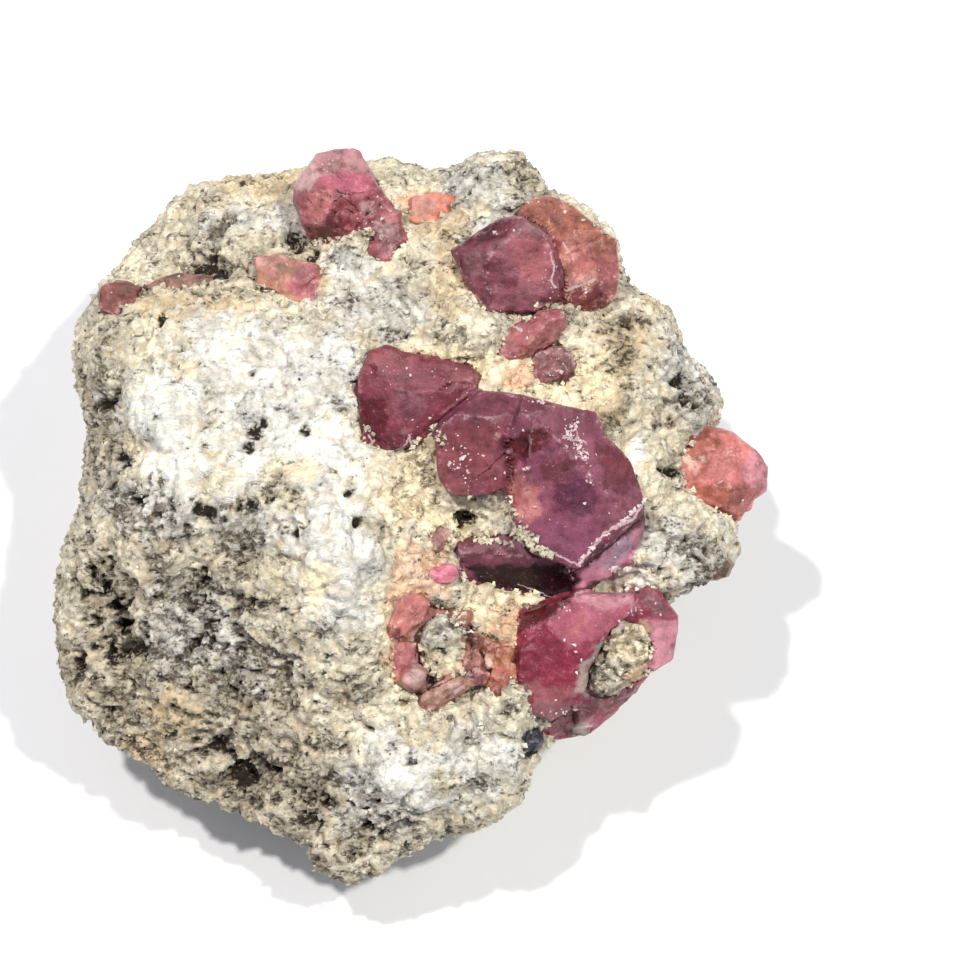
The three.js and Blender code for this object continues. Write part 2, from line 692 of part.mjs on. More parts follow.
const PINK_BUD = {
  name: 'pink_bud',
  colour: '#dd7286',
  crystals: [{
    outline: [[1.4, -4.9], [2.7, -4.1], [3.8, -4.2], [4.1, -5.2], [3.3, -5.8], [1.9, -5.7]],
    middle: [2.8, -5.0],
    apex: [2.7, -4.9],
    height: surface(2.7, -5.0) + 1.5,
    facets: [[95, 16], [280, 20], [180, 35, 0.7]],
    girdle: 0.8,
    root: 3,
    shoulder: 0.85,
  }],
};

const ROSE_BUD = {
  name: 'rose_bud',
  colour: '#c08a80',
  garnets: [
    { at: [1.8, -2.2], size: 1.6, sunk: 0, turn: [20, 30, 10] },
    { at: [2.4, -1.7], size: 1.2, sunk: 0, turn: [50, 10, 40] },
  ],
};

const GRAINS = {
  name: 'orange_grains',
  colour: '#b8643a',
  garnets: [
    { at: [6.5, -11.2], size: 2.0, sunk: 0.1, turn: [15, 25, 0] },
    { at: [7.6, -12.3], size: 2.4, sunk: 0.1, turn: [55, 10, 30] },
    { at: [8.0, -13.9], size: 2.3, sunk: 0.1, turn: [30, 50, 15] },
    { at: [7.4, -14.9], size: 1.6, sunk: 0.1, turn: [10, 70, 45] },
    { at: [6.3, -12.9], size: 1.6, sunk: 0.3, turn: [70, 35, 60] },
  ],
};

const WEDGE = {
  name: 'wedge_garnet',
  colour: '#cf8f80',
  crystals: [{
    outline: [
      [-14.3, 23.1], [-12.1, 23.3], [-8.5, 22.3], [-8.3, 20.7], [-8.9, 18.3], [-10.1, 18.2],
      [-12.3, 19.9], [-14.1, 20.5],
    ],
    middle: [-11.2, 21.2],
    apex: [-10.8, 21.2],
    height: surface(-11, 21) + 2.0,
    facets: [[70, 20], [235, 15], [330, 22, 0.5]],
    girdle: 1.2,
    root: 4.5,
    shoulder: 0.85,
  }],
};

const BROWN = {
  name: 'brown_garnet',
  colour: '#8f6a62',
  crystals: [{
    outline: [
      [-24.4, 20.5], [-22.6, 21.3], [-21.0, 21.8], [-18.3, 21.4], [-17.3, 20.7],
      [-19.8, 20.0], [-23.0, 19.9],
    ],
    middle: [-20.8, 20.8],
    apex: [-20.8, 20.8],
    height: surface(-20.8, 20.8) + 1.4,
    facets: [[85, 18], [265, 26], [0, 28, 1.6], [180, 28, 1.6]],
    girdle: 1.2,
    root: 4,
    shoulder: 0.8,
  }],
};

const EDGE = {
  name: 'edge_garnet',
  colour: '#8c4a58',
  crystals: [{
    outline: [
      [-28.4, 19.8], [-27.9, 20.6], [-26.7, 21.1], [-25.2, 21.0], [-24.5, 20.3],
      [-24.5, 19.1], [-25.8, 18.2], [-26.8, 17.8], [-28.2, 18.3],
    ],
    middle: [-26.4, 19.5],
    apex: [-26.4, 19.6],
    height: surface(-26, 19) + 1.6,
    facets: [[80, 26, 0.2], [200, 20], [310, 22, 0.2]],
    girdle: 1.8,
    root: 5,
    shoulder: 0.8,
  }],
};

const DARK_GRAIN = {
  name: 'dark_grain',
  colour: '#3b4048',
  garnets: [{ at: [10.4, -19.6], sunk: 0, size: 1.9, turn: [25, 15, 40] }],
};

const BROWN_BUD = {
  name: 'brown_bud',
  colour: '#8a7050',
  garnets: [{ at: [27.0, -4.5], sunk: 0, size: 2.2, turn: [40, 20, 10] }],
};

// In this order each piece is cut by those before it.
const PIECES = [
  MAIN, LEFT, TOP, SALMON, PURPLE, ORANGE, SHARD, DRUSE, RIGHT, HOLLOW_FILLING, RASPBERRY,
  RING_FILLING, RING, PINK_BUD, ROSE_BUD, GRAINS, WEDGE, BROWN, EDGE, DARK_GRAIN, BROWN_BUD,
];

// ---------------------------------------------------------------- assembly

function build({ crystals = [], garnets = [], pebbles = [] }, grow) {
  const placed = garnets.map(({ sunk = 0, ...spec }) => {
    return { height: surface(...spec.at) - sunk, ...spec };
  });
  return joined([
    ...crystals.map((spec) => crystal(spec, grow)),
    ...placed.map((spec) => garnet(spec, grow)),
    ...pebbles.map((spec) => pebble(spec, grow)),
  ]);
}

function mesh(name, body, colour, roughness) {
  const { numProp, vertProperties, triVerts } = body.getMesh();
  const geometry = new THREE.BufferGeometry();
  geometry.setAttribute('position', new THREE.BufferAttribute(vertProperties, numProp));
  geometry.setIndex(new THREE.BufferAttribute(triVerts, 1));
  const material = new THREE.MeshStandardMaterial({ color: colour, roughness, metalness: 0 });
  const piece = new THREE.Mesh(geometry, material);
  piece.name = name;
  return piece;
}

const group = new THREE.Group();
group.name = 'garnet_specimen';

let matrix = lump();
const sockets = [];
for (const piece of PIECES) {
  let body = build(piece, 0);
  for (const socket of sockets) body = body.subtract(socket);
  const socket = build(piece, SEAT_GAP);
  matrix = matrix.subtract(socket);
  sockets.push(socket);
  group.add(mesh(piece.name, body, piece.colour, 0.3));
}
// Chips that the sockets cut free fall away: the lump is the largest body left.
const [whole] = matrix.decompose().sort((a, b) => b.volume() - a.volume());
group.add(mesh('matrix', whole, '#cfc8b4', 0.95));

group.rotation.x = toRadians(DISPLAY_TILT);
group.updateMatrixWorld(true);
const box = new THREE.Box3().setFromObject(group, true);
const middle = box.getCenter(new THREE.Vector3());
group.position.set(-middle.x, -middle.y, BASE_DROP);

export default group;
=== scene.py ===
import itertools
import math
from dataclasses import dataclass

import bmesh
import bpy
import numpy as np
from bpy.props import FloatProperty, FloatVectorProperty, IntProperty, PointerProperty
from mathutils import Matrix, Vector, kdtree
from mathutils.bvhtree import BVHTree


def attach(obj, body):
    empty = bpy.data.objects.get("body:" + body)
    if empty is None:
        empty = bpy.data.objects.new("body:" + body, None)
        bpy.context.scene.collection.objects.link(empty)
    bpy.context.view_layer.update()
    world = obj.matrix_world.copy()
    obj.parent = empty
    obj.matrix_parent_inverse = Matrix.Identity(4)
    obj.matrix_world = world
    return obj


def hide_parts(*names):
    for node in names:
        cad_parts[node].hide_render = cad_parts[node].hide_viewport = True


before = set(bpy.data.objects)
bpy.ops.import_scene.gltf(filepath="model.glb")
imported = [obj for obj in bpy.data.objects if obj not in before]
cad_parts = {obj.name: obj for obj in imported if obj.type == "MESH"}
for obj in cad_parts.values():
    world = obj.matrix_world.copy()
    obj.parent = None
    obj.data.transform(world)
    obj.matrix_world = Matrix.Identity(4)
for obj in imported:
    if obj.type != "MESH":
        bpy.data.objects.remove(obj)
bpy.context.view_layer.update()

bl_info = {
    "name": "Garnet Specimen",
    "version": (1, 0, 0),
    "blender": (4, 5, 0),
    "location": "3D View > Sidebar > Specimen",
    "description": "Pink, plum and wine-red garnets grown on a lump of pale granular skarn",
    "category": "Add Mesh",
}

MM = 0.001

# Seeds of what is strewn or shaped at random.
ROCK_SEED = 11
GRAIN_SEED = 23
FLAKE_SEED = 41
FILLING_SEED = 61

# The display face leans back from level. On it x runs right, y up across it and z out of it,
# in millimetres from its middle.
DISPLAY_TILT = math.radians(24)
FACE_MIDDLE = np.array([-0.0095, 0.1813, 16.0])
FACE_AXES = np.array([
    [1, 0, 0],
    [0, math.cos(DISPLAY_TILT), math.sin(DISPLAY_TILT)],
    [0, -math.sin(DISPLAY_TILT), math.cos(DISPLAY_TILT)],
])
# Height above the display face that points are dropped from.
DROP_HEIGHT = 60
# The face's own patches give way to those of the back between these heights.
PATCH_FOOT = (-10, -4)
# The point on the display face that the camera looks at.
AIM = (6.66, 2.34, 0)

# Widths of the rock's lumps, crumbs and grains.
LUMP, CRUMB, GRAIN = 4.0, 1.9, 1.2
# Widths of the fillings' crumbs, grains and mesh faces.
FILLING_CRUMB, FILLING_GRAIN, FILLING_FACE = 1.1, 0.55, 0.2
# Random points tried on each piece of rock before they are thinned out.
GRAIN_TRIES = {
    "rock_sides": 90000, "rock_face": 90000, "rock_foot": 90000,
    "hollow_filling_rock": 1500, "ring_filling_rock": 900,
}

# A crystal's edge is sharper than this, and the points along it are this far apart.
EDGE_ANGLE = math.radians(9)
EDGE_SPACING = 0.12
# Facets that meet at more than this angle are shaded apart.
CREASE_ANGLE = math.radians(20)
GARNET_IOR = 1.74

# Patches of the matrix, by kind: middle and half-widths on the display face, and turn.
PATCHES = {
    "white": [
        (-13.6, 10.2, 10.5, 7.2, -5), (-21.5, 7.5, 3.2, 7.0, 8), (-6.6, -3.6, 3.6, 6.4, 8),
        (0.4, -22.4, 2.4, 2.6, 0), (6.6, -20.6, 2.6, 1.6, 30), (19.0, -5.4, 2.2, 1.2, 0),
        (-8.4, 5.2, 5.2, 3.2, -10), (19.4, 5.0, 0.8, 2.2, 0), (-2.4, -19.4, 1.6, 1.2, 0),
    ],
    "cool": [
        (-3.7, 18.1, 4.8, 3.2, -10), (-13.6, -0.8, 5.0, 2.0, 0), (-5.3, -8.8, 3.0, 2.2, 20),
        (-23.4, 0.8, 5.4, 3.2, -10), (25.2, -4.2, 3.6, 3.0, 0), (-17.2, -11.6, 7.0, 3.4, -20),
        (5.2, 29.4, 3.4, 2.6, 20), (-10, 26.4, 4.0, 1.6, 0), (-3.0, -24.0, 4.0, 4.0, 0),
        (-14.4, 9.4, 2.0, 1.4, 0), (7.6, 25.6, 3.0, 2.4, 30), (23.8, 12.0, 2.4, 5.0, 20),
        (5.6, -21.4, 4.6, 3.6, 20), (-18.2, 14.6, 1.6, 1.4, 0), (-20.0, -9.0, 5.0, 4.0, 0),
        (21.6, -2.6, 2.6, 2.4, 0), (-5.6, 21.8, 2.2, 2.0, 0), (-17.0, 26.0, 3.4, 1.4, 10),
    ],
    # Dark patches are partly grey-brown stone and partly painted shade, on the lower-left slope and
    # at the foot of ledges.
    "dark": [
        (-20.3, -14.6, 13.5, 11.0, -35), (-17.4, -21.6, 5.6, 3.6, -35), (25.2, -3.6, 3.0, 2.4, 0),
        (-27.6, 8.2, 2.2, 6.4, 0), (-26.4, -7.4, 3.4, 7.0, 10), (-17.2, 22.0, 3.6, 1.4, -6),
        (-13.8, -23.2, 8.0, 4.4, -25), (-15.6, -3.0, 3.4, 2.2, 0),
        (-23.2, -0.4, 5.4, 3.2, -20), (25.0, 11.0, 1.3, 1.8, 0), (-6.6, -27.6, 6.0, 4.0, 0),
        (25.4, -5.6, 2.8, 1.8, -10), (9.8, 31.0, 2.0, 2.4, -30), (19.0, 17.2, 1.6, 0.8, 10),
        (-18.6, 25.2, 3.0, 1.0, 30),
    ],
    "ochre": [
        (-21.4, -17.4, 2.8, 2.2, 20), (-13.0, 30.0, 5.0, 1.8, 0), (18.4, 14.6, 2.6, 3.0, 0),
        (3.2, 20.4, 1.7, 4.0, 10), (-23.6, -20.2, 2.4, 1.6, -30), (16.6, 9.8, 2.4, 2.2, 0),
        (2.6, 26.4, 3.2, 1.8, 0), (-9.0, 20.4, 2.0, 1.2, 0), (-19.0, 18.2, 6.0, 1.4, 0),
        (20.4, 18.6, 1.3, 0.8, 0), (7.4, -9.4, 2.0, 2.4, 0),
    ],
    "yellow": [
        (0.6, 2.2, 3.4, 5.0, 4), (7.4, -7.4, 2.8, 2.4, 0), (-2.2, -9.4, 1.4, 3.6, 0),
        (8.4, 12.6, 8.4, 1.8, -14), (3.6, -1.0, 2.4, 2.4, 0), (-8.2, -5.6, 1.5, 2.2, -10),
        (15.6, 12.6, 3.4, 2.4, 0), (-10.4, 4.2, 2.2, 1.2, 0), (-20.0, 12.6, 1.4, 1.0, 0),
    ],
    "apricot": [
        (0.6, -4.0, 2.4, 2.6, 0), (-0.6, -6.8, 2.0, 1.4, 20), (8.2, -9.6, 1.6, 2.0, 0),
        (8.6, 12.2, 1.8, 1.4, 0), (-1.9, -10.9, 0.9, 2.2, 0), (-0.4, 28.0, 1.8, 0.9, 0),
    ],
}

# Open pits: middle on the display face, radius and depth. Each is sunk in and painted near black as
# shade; some lie in rows to make shadowed clefts.
PITS = [
    (-18.6, 22.3, 1.2, 1.4), (-17.2, 21.6, 0.8, 1.4), (-10.6, 24.2, 1.0, 1.6),
    (-8.9, 22.6, 0.7, 1.2), (22.4, 3.8, 0.7, 1.0), (-27.0, 9.8, 1.0, 1.3), (-26.9, -6.2, 0.9, 1.4),
    (-26.2, -8.0, 0.9, 1.4), (-25.6, -9.6, 1.0, 1.5), (-24.5, -11.6, 0.9, 1.0),
    (-26.4, -12.4, 1.0, 1.2), (-15.0, -22.8, 1.4, 1.4), (-12.8, -22.0, 1.0, 1.1),
    (-17.6, -20.2, 0.9, 1.0), (4.4, -0.5, 0.8, 1.1), (23.4, 12.0, 0.7, 0.9),
    (22.6, 8.2, 0.6, 0.8), (24.8, -6.6, 0.7, 0.9), (11.6, 28.8, 0.7, 0.9),
    (10.2, -20.4, 0.8, 0.9), (-9.4, -26.6, 0.8, 0.9), (-3.8, -27.4, 0.6, 0.7),
    (-29.4, -13.4, 0.9, 1.0), (-22.2, 17.3, 0.4, 0.4), (-13.7, 7.2, 0.7, 0.6),
    (-14.3, 5.9, 0.5, 0.5), (-13.0, 7.9, 0.45, 0.4), (-9.4, 7.4, 0.45, 0.4),
    (-17.5, 0.4, 0.8, 0.8), (-18.6, 0.8, 0.55, 0.6), (-16.5, -0.1, 0.5, 0.5),
    (-13.7, 1.1, 0.5, 0.5), (-14.9, 0.8, 0.4, 0.4), (-12.6, 1.4, 0.4, 0.4),
    (-5.0, -0.6, 0.45, 0.6), (-9.8, -1.5, 0.4, 0.5), (-6.9, 3.8, 0.4, 0.5),
    (-5.4, 2.3, 0.4, 0.5), (-25.4, 5.2, 0.7, 0.7), (-26.0, 3.0, 0.5, 0.6),
]

# Rounded knots of white crust: middle, half-widths, turn and rise.
KNOTS = [
    (-7.6, -1.0, 2.4, 2.0, 0, 0.8), (-6.2, -4.8, 1.5, 2.4, 10, 0.9),
    (-8.3, -4.4, 1.3, 2.2, -12, 1.0), (-9.6, -7.4, 1.5, 1.2, 20, 0.6),
    (-7.4, -9.2, 0.9, 1.2, 0, 0.6), (-17.4, 12.0, 2.6, 1.6, 0, 0.6),
    (-9.6, 12.6, 3.4, 1.5, -8, 0.5), (-10.6, 9.4, 4.0, 1.2, -6, 0.5),
    (-21.8, 9.0, 1.5, 3.4, 10, 0.6), (-14.0, 9.4, 1.4, 1.4, 0, 0.6),
    (-6.0, 9.8, 1.6, 3.2, 0, 0.5), (-11.0, 2.9, 3.4, 0.9, 12, 0.6),
]


# ------------------------------------------------------------------ numbers and noise

def to_face(points):
    return (points - FACE_MIDDLE) @ FACE_AXES.T


def from_face(x, y, z):
    return FACE_MIDDLE + np.array([x, y, z]) @ FACE_AXES


def step(low, high, value):
    share = np.clip((value - low) / (high - low), 0, 1)
    return share * share * (3 - 2 * share)


def unit(vectors):
    return vectors / np.maximum(np.linalg.norm(vectors, axis=-1, keepdims=True), 1e-9)


class Noise:
    """Smooth noise and rounded cells over places in millimetres, alike on every run."""

    def __init__(self, seed):
        rng = np.random.default_rng(seed)
        self.table = rng.permutation(256)
        self.slopes = unit(rng.normal(size=(256, 3)))
        self.spots = rng.random((256, 3))
        self.tones = rng.random(256)

    def key(self, cell):
        cell = cell & 255
        first = self.table[cell[:, 0]]
        second = self.table[(first + cell[:, 1]) & 255]
        return self.table[(second + cell[:, 2]) & 255]

    def swell(self, points, size):
        """Soft rises and falls of about -1 to 1, the given size across."""
        place = points / size
        cell = np.floor(place).astype(int)
        part = place - cell
        fade = part ** 3 * (part * (part * 6 - 15) + 10)
        total = np.zeros(len(points))
        for corner in itertools.product((0, 1), repeat=3):
            corner = np.array(corner)
            slope = self.slopes[self.key(cell + corner)]
            share = np.where(corner, fade, 1 - fade).prod(axis=1)
            total += share * (slope * (part - corner)).sum(axis=1)
        return total * 1.6

    def crumbs(self, points, size):
        """Rounded crumbs of the given size: height from 0 to 1, and each crumb's own tone."""
        place = points / size
        cell = np.floor(place).astype(int)
        nearest = np.full(len(points), 9.0)
        tone = np.zeros(len(points))
        for offset in itertools.product((-1, 0, 1), repeat=3):
            neighbour = cell + np.array(offset)
            key = self.key(neighbour)
            gap = ((place - neighbour - self.spots[key]) ** 2).sum(axis=1)
            closer = gap < nearest
            nearest = np.where(closer, gap, nearest)
            tone = np.where(closer, self.tones[key], tone)
        return np.sqrt(np.clip(1 - nearest, 0, 1)), tone


def ellipse(face, middle_x, middle_y, half_x, half_y, turn):
    """How far each place lies from an ellipse's middle, in radii."""
    angle = math.radians(turn)
    x = face[:, 0] - middle_x
    y = face[:, 1] - middle_y
    along = (x * math.cos(angle) + y * math.sin(angle)) / half_x
    across = (y * math.cos(angle) - x * math.sin(angle)) / half_y
    return np.hypot(along, across)


# ------------------------------------------------------------------ meshes

def vectors(items, key):
    """One vector for each item of a mesh."""
    values = np.empty(len(items) * 3, np.float32)
    items.foreach_get(key, values)
    return values.reshape(-1, 3).astype(float)


def places_of(mesh):
    return vectors(mesh.vertices, "co") / MM


def middles_of(mesh):
    return vectors(mesh.polygons, "center") / MM


def triangles_of(mesh):
    mesh.calc_loop_triangles()
    corners = np.empty(len(mesh.loop_triangles) * 3, np.int32)
    mesh.loop_triangles.foreach_get("vertices", corners)
    return corners.reshape(-1, 3)


def tree_of(names):
    """A search tree over the surfaces of several CAD nodes, in millimetres."""
    places, corners, count = [], [], 0
    for name in names:
        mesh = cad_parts[name].data
        own = places_of(mesh)
        places.append(own)
        corners.append(triangles_of(mesh) + count)
        count += len(own)
    return BVHTree.FromPolygons(
        np.vstack(places).tolist(), np.vstack(corners).tolist(), all_triangles=True
    )


def distance_to(tree, points, reach):
    """Each place's distance to the surfaces in a tree, no more than reach."""
    found = (tree.find_nearest(point, reach)[3] for point in points.tolist())
    return np.array([reach if gap is None else gap for gap in found])


def remeshed(name, node, voxel):
    """A new object with a CAD node's shape in even small faces."""
    piece = object_of(name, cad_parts[node].data.copy())
    even = piece.modifiers.new("even", "REMESH")
    even.mode = "VOXEL"
    even.voxel_size = voxel
    closed = piece.evaluated_get(bpy.context.evaluated_depsgraph_get())
    mesh = bpy.data.meshes.new_from_object(closed)
    piece.modifiers.clear()
    piece.data = mesh
    mesh.name = name
    mesh.materials.clear()
    return piece


def put(mesh, places):
    mesh.vertices.foreach_set("co", (places * MM).astype(np.float32).ravel())
    mesh.update()


def store(mesh, name, values, domain="POINT"):
    attribute = mesh.attributes.new(name, "FLOAT", domain)
    attribute.data.foreach_set("value", values.astype(np.float32))


def object_of(name, mesh):
    """A new object in the scene that holds a mesh."""
    piece = bpy.data.objects.new(name, mesh)
    bpy.context.scene.collection.objects.link(piece)
    return piece


def finish(piece, material, slot, *nodes):
    """The piece gets its material, rides on the specimen and stands for its CAD nodes."""
    piece.data.materials.append(material)
    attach(piece, "root")
    if nodes:
        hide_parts(*nodes)


# ------------------------------------------------------------------ shader maths

class Value:
    """A shader socket that can be reckoned with like a number."""

    def __init__(self, paint, socket):
        self.paint = paint
        self.socket = socket

    def __add__(self, other):
        return self.paint.math("ADD", self, other)

    def __sub__(self, other):
        return self.paint.math("SUBTRACT", self, other)

    def __rsub__(self, other):
        return self.paint.math("SUBTRACT", other, self)

    def __mul__(self, other):
        return self.paint.math("MULTIPLY", self, other)

    __radd__ = __add__
    __rmul__ = __mul__


class Paint:
    """A material whose nodes are written as expressions."""

    def __init__(self, name, **constants):
        self.material = bpy.data.materials.new(name)
        self.material.use_nodes = True
        self.tree = self.material.node_tree
        self.shader = self.tree.nodes["Principled BSDF"]
        for words, value in constants.items():
            self.shader.inputs[words.replace("_", " ")].default_value = value
        self.place = self.node("ShaderNodeTexCoord", output="Object")

    def node(self, kind, settings=None, inputs=None, output=0):
        made = self.tree.nodes.new(kind)
        for name, value in (settings or {}).items():
            setattr(made, name, value)
        for name, value in (inputs or {}).items():
            self.feed(made.inputs[name], value)
        return Value(self, made.outputs[output])

    def feed(self, socket, value):
        if isinstance(value, Value):
            self.tree.links.new(value.socket, socket)
        else:
            socket.default_value = value

    def surface(self, **values):
        for words, value in values.items():
            self.feed(self.shader.inputs[words.replace("_", " ")], value)

    def math(self, operation, *values):
        return self.node("ShaderNodeMath", {"operation": operation}, dict(enumerate(values)))

    def mix(self, share, first, second, blend="MIX"):
        settings = {"data_type": "RGBA", "blend_type": blend}
        return self.node("ShaderNodeMix", settings, {0: share, 6: first, 7: second}, 2)

    def grey(self, value):
        return self.node("ShaderNodeCombineColor", {}, dict(enumerate([value] * 3)))

    def stretch(self, value, low, high):
        """0 below low, 1 above high and a smooth rise between."""
        settings = {"interpolation_type": "SMOOTHSTEP"}
        return self.node("ShaderNodeMapRange", settings, {0: value, 1: low, 2: high})

    def attribute(self, name):
        return self.node("ShaderNodeAttribute", {"attribute_name": name}, output="Fac")

    def noise(self, size, detail=2.0, place=None, rough=0.5):
        """Noise from 0 to 1 whose features are about size millimetres across."""
        inputs = {
            "Vector": place or self.place, "Scale": 1 / (size * MM),
            "Detail": detail, "Roughness": rough,
        }
        return self.node("ShaderNodeTexNoise", {}, inputs)

    def cells(self, size, place=None):
        """Distance from the middle of the nearest of many cells."""
        inputs = {"Vector": place or self.place, "Scale": 1 / (size * MM)}
        return self.node("ShaderNodeTexVoronoi", {}, inputs)

    def vector(self, operation, first, second, output=0):
        inputs = {0: first, 1: second}
        return self.node("ShaderNodeVectorMath", {"operation": operation}, inputs, output)

    def squeezed(self, x, y, z):
        """The place with each axis scaled, for streaks."""
        return self.vector("MULTIPLY", self.place, (x, y, z))

    def warped(self, size, reach):
        """The place pushed about by noise, so that round spots turn ragged."""
        inputs = {"Vector": self.place, "Scale": 1 / (size * MM), "Detail": 4.0, "Roughness": 0.6}
        push = self.node("ShaderNodeTexNoise", {}, inputs, "Color")
        push = self.vector("SUBTRACT", push, (0.5,) * 3)
        push = self.vector("MULTIPLY", push, (2 * reach * MM,) * 3)
        return self.vector("ADD", self.place, push)

    def near(self, point, radius, place):
        """1 within a point's core, falling to 0 at the radius in millimetres."""
        gap = self.vector("DISTANCE", place, tuple(np.array(point) * MM), "Value")
        return 1 - self.stretch(gap, radius * MM * 0.25, radius * MM)

    def on_face(self, place):
        """A place as its x and y in millimetres on the display face, and 1."""
        x, y = (
            self.vector("DOT_PRODUCT", place, tuple(axis / MM), "Value") - float(FACE_MIDDLE @ axis)
            for axis in FACE_AXES[:2]
        )
        return self.node("ShaderNodeCombineXYZ", {}, {0: x, 1: y, 2: 1.0})

    def patch(self, corners, face, blur):
        """1 inside a convex outline on the display face and 0 outside."""
        corners = np.array(corners, float)
        middle = corners.mean(axis=0)
        reach = None
        for start, end in zip(corners, np.roll(corners, -1, axis=0)):
            across = np.array([end[1] - start[1], start[0] - end[0]])
            across /= np.linalg.norm(across)
            if across @ (middle - start) > 0:
                across = -across
            gap = self.vector("DOT_PRODUCT", face, (*across, -across @ start), "Value")
            reach = gap if reach is None else self.math("MAXIMUM", reach, gap)
        return 1 - self.stretch(reach, -blur, blur)

    def stroke(self, start, end, half_width, face):
        """1 along a line on the display face and 0 beside it."""
        start, end = np.array(start), np.array(end)
        along = (end - start) / np.linalg.norm(end - start)
        across = np.array([-along[1], along[0]]) * half_width
        corners = [start + across, start - across, end - across, end + across]
        return self.patch(corners, face, 0.03)

    def bump(self, height, depth):
        """A normal from a height of 0 to 1 that stands for depth millimetres."""
        inputs = {"Strength": 1.0, "Distance": depth * MM, "Height": height}
        return self.node("ShaderNodeBump", {}, inputs)


def colour(name, description, *rgb):
    return FloatVectorProperty(
        name=name, description=description, subtype="COLOR", size=4,
        min=0, max=1, default=(*rgb, 1),
    )


def length(name, description, millimetres):
    return FloatProperty(
        name=name, description=description, unit="LENGTH", precision=5,
        min=0, default=millimetres * MM,
    )


# ------------------------------------------------------------------ settings

class MatrixSettings(bpy.types.PropertyGroup):
    """Sizes and colours of the skarn."""

    face_size: length("Face Size", "Size of the rock's mesh faces", 0.29)
    lump_rise: length("Lump Rise", "Height of the lumps 4 mm across", 1.5)
    crumb_rise: length("Crumb Rise", "Height of the crumbs 1.9 mm across", 1.3)
    grain_rise: length("Grain Rise", "Height of the grains 1.2 mm across", 0.6)
    gap_depth: length("Gap Depth", "Depth of the dark gaps between crumbs", 0.7)
    seat: length("Seat", "How far the rock closes in on its crystals", 0.36)
    cream: colour("Cream", "Most of the skarn", 0.765, 0.70, 0.54)
    white: colour("White", "The white crust", 0.84, 0.815, 0.73)
    cool: colour("Cool Grey", "Grey patches", 0.66, 0.66, 0.62)
    # Grey-Brown is partly the stone's own colour and partly painted shade of the lower-left slope,
    # which turns away from the lights.
    dark: colour("Grey-Brown", "The shadowed slope", 0.55, 0.50, 0.40)
    ochre: colour("Ochre", "Rust-stained patches", 0.72, 0.54, 0.31)
    yellow: colour("Yellow", "The stained recess", 0.99, 0.86, 0.59)
    apricot: colour("Apricot", "Pink-orange stain by the crystals", 0.84, 0.50, 0.32)
    # Bluish is a painted cool shade tint for the creases.
    bluish: colour("Bluish", "Cool tint in the creases", 0.60, 0.63, 0.68)
    # Crease shade is painted brown shade for the creases, seams and hollows between the grains.
    crease_shade: colour("Crease_Shade", "Brown between the grains", 0.22, 0.165, 0.095)
    # Speck is the near black of dark mineral specks and of painted shade in pits, gaps and
    # crevices.
    speck_and_shade: colour("Speck", "Dark mineral specks and pits", 0.026, 0.018, 0.011)


class GrainSettings(bpy.types.PropertyGroup):
    """Sizes and numbers of the grains on the skarn."""

    spacing: length("Spacing", "Distance between grains", 0.68)
    smallest: length("Smallest", "Radius of the smallest grain", 0.10)
    largest: length("Largest", "Radius of the largest grain", 0.30)
    most: IntProperty(
        name="Most per Piece", description="Grains in one piece at most", default=24000
    )


class GarnetSettings(bpy.types.PropertyGroup):
    """What all the garnets share."""

    seat: length("Seat", "How far a crystal closes in on what it touches", 0.26)
    swell: length("Swell", "Height of the soft unevenness of the facets", 0.13)
    chip: length("Chip", "Depth of the chips along the edges", 0.24)
    # Frost is the pale of chipped edges and dust, and also serves the pale strokes, which are
    # partly painted highlight along lit edges.
    frost: colour("Frost", "Chipped edges and dust", 0.70, 0.52, 0.53)
    # Flaw is the dark of cracks and inclusions, and also serves the dark strokes, which are partly
    # painted shade under edges and in gaps.
    flaw: colour("Flaw", "Dark cracks and inclusions", 0.022, 0.009, 0.008)
    # Glint is a painted highlight: tiny sparks of reflected light on the crystals.
    glint: colour("Glint", "Tiny bright flaws", 0.90, 0.80, 0.80)
    flake: colour("Flake", "Pale chips of crust that cling to the crystals", 0.78, 0.66, 0.64)
    flake_size: length("Flake Size", "Radius of a flake", 0.11)
    crumb_size: length("Crumb Size", "Radius of a crumb of crust", 0.24)
    dusting: IntProperty(name="Dusting", description="Flakes strewn at random", default=500)


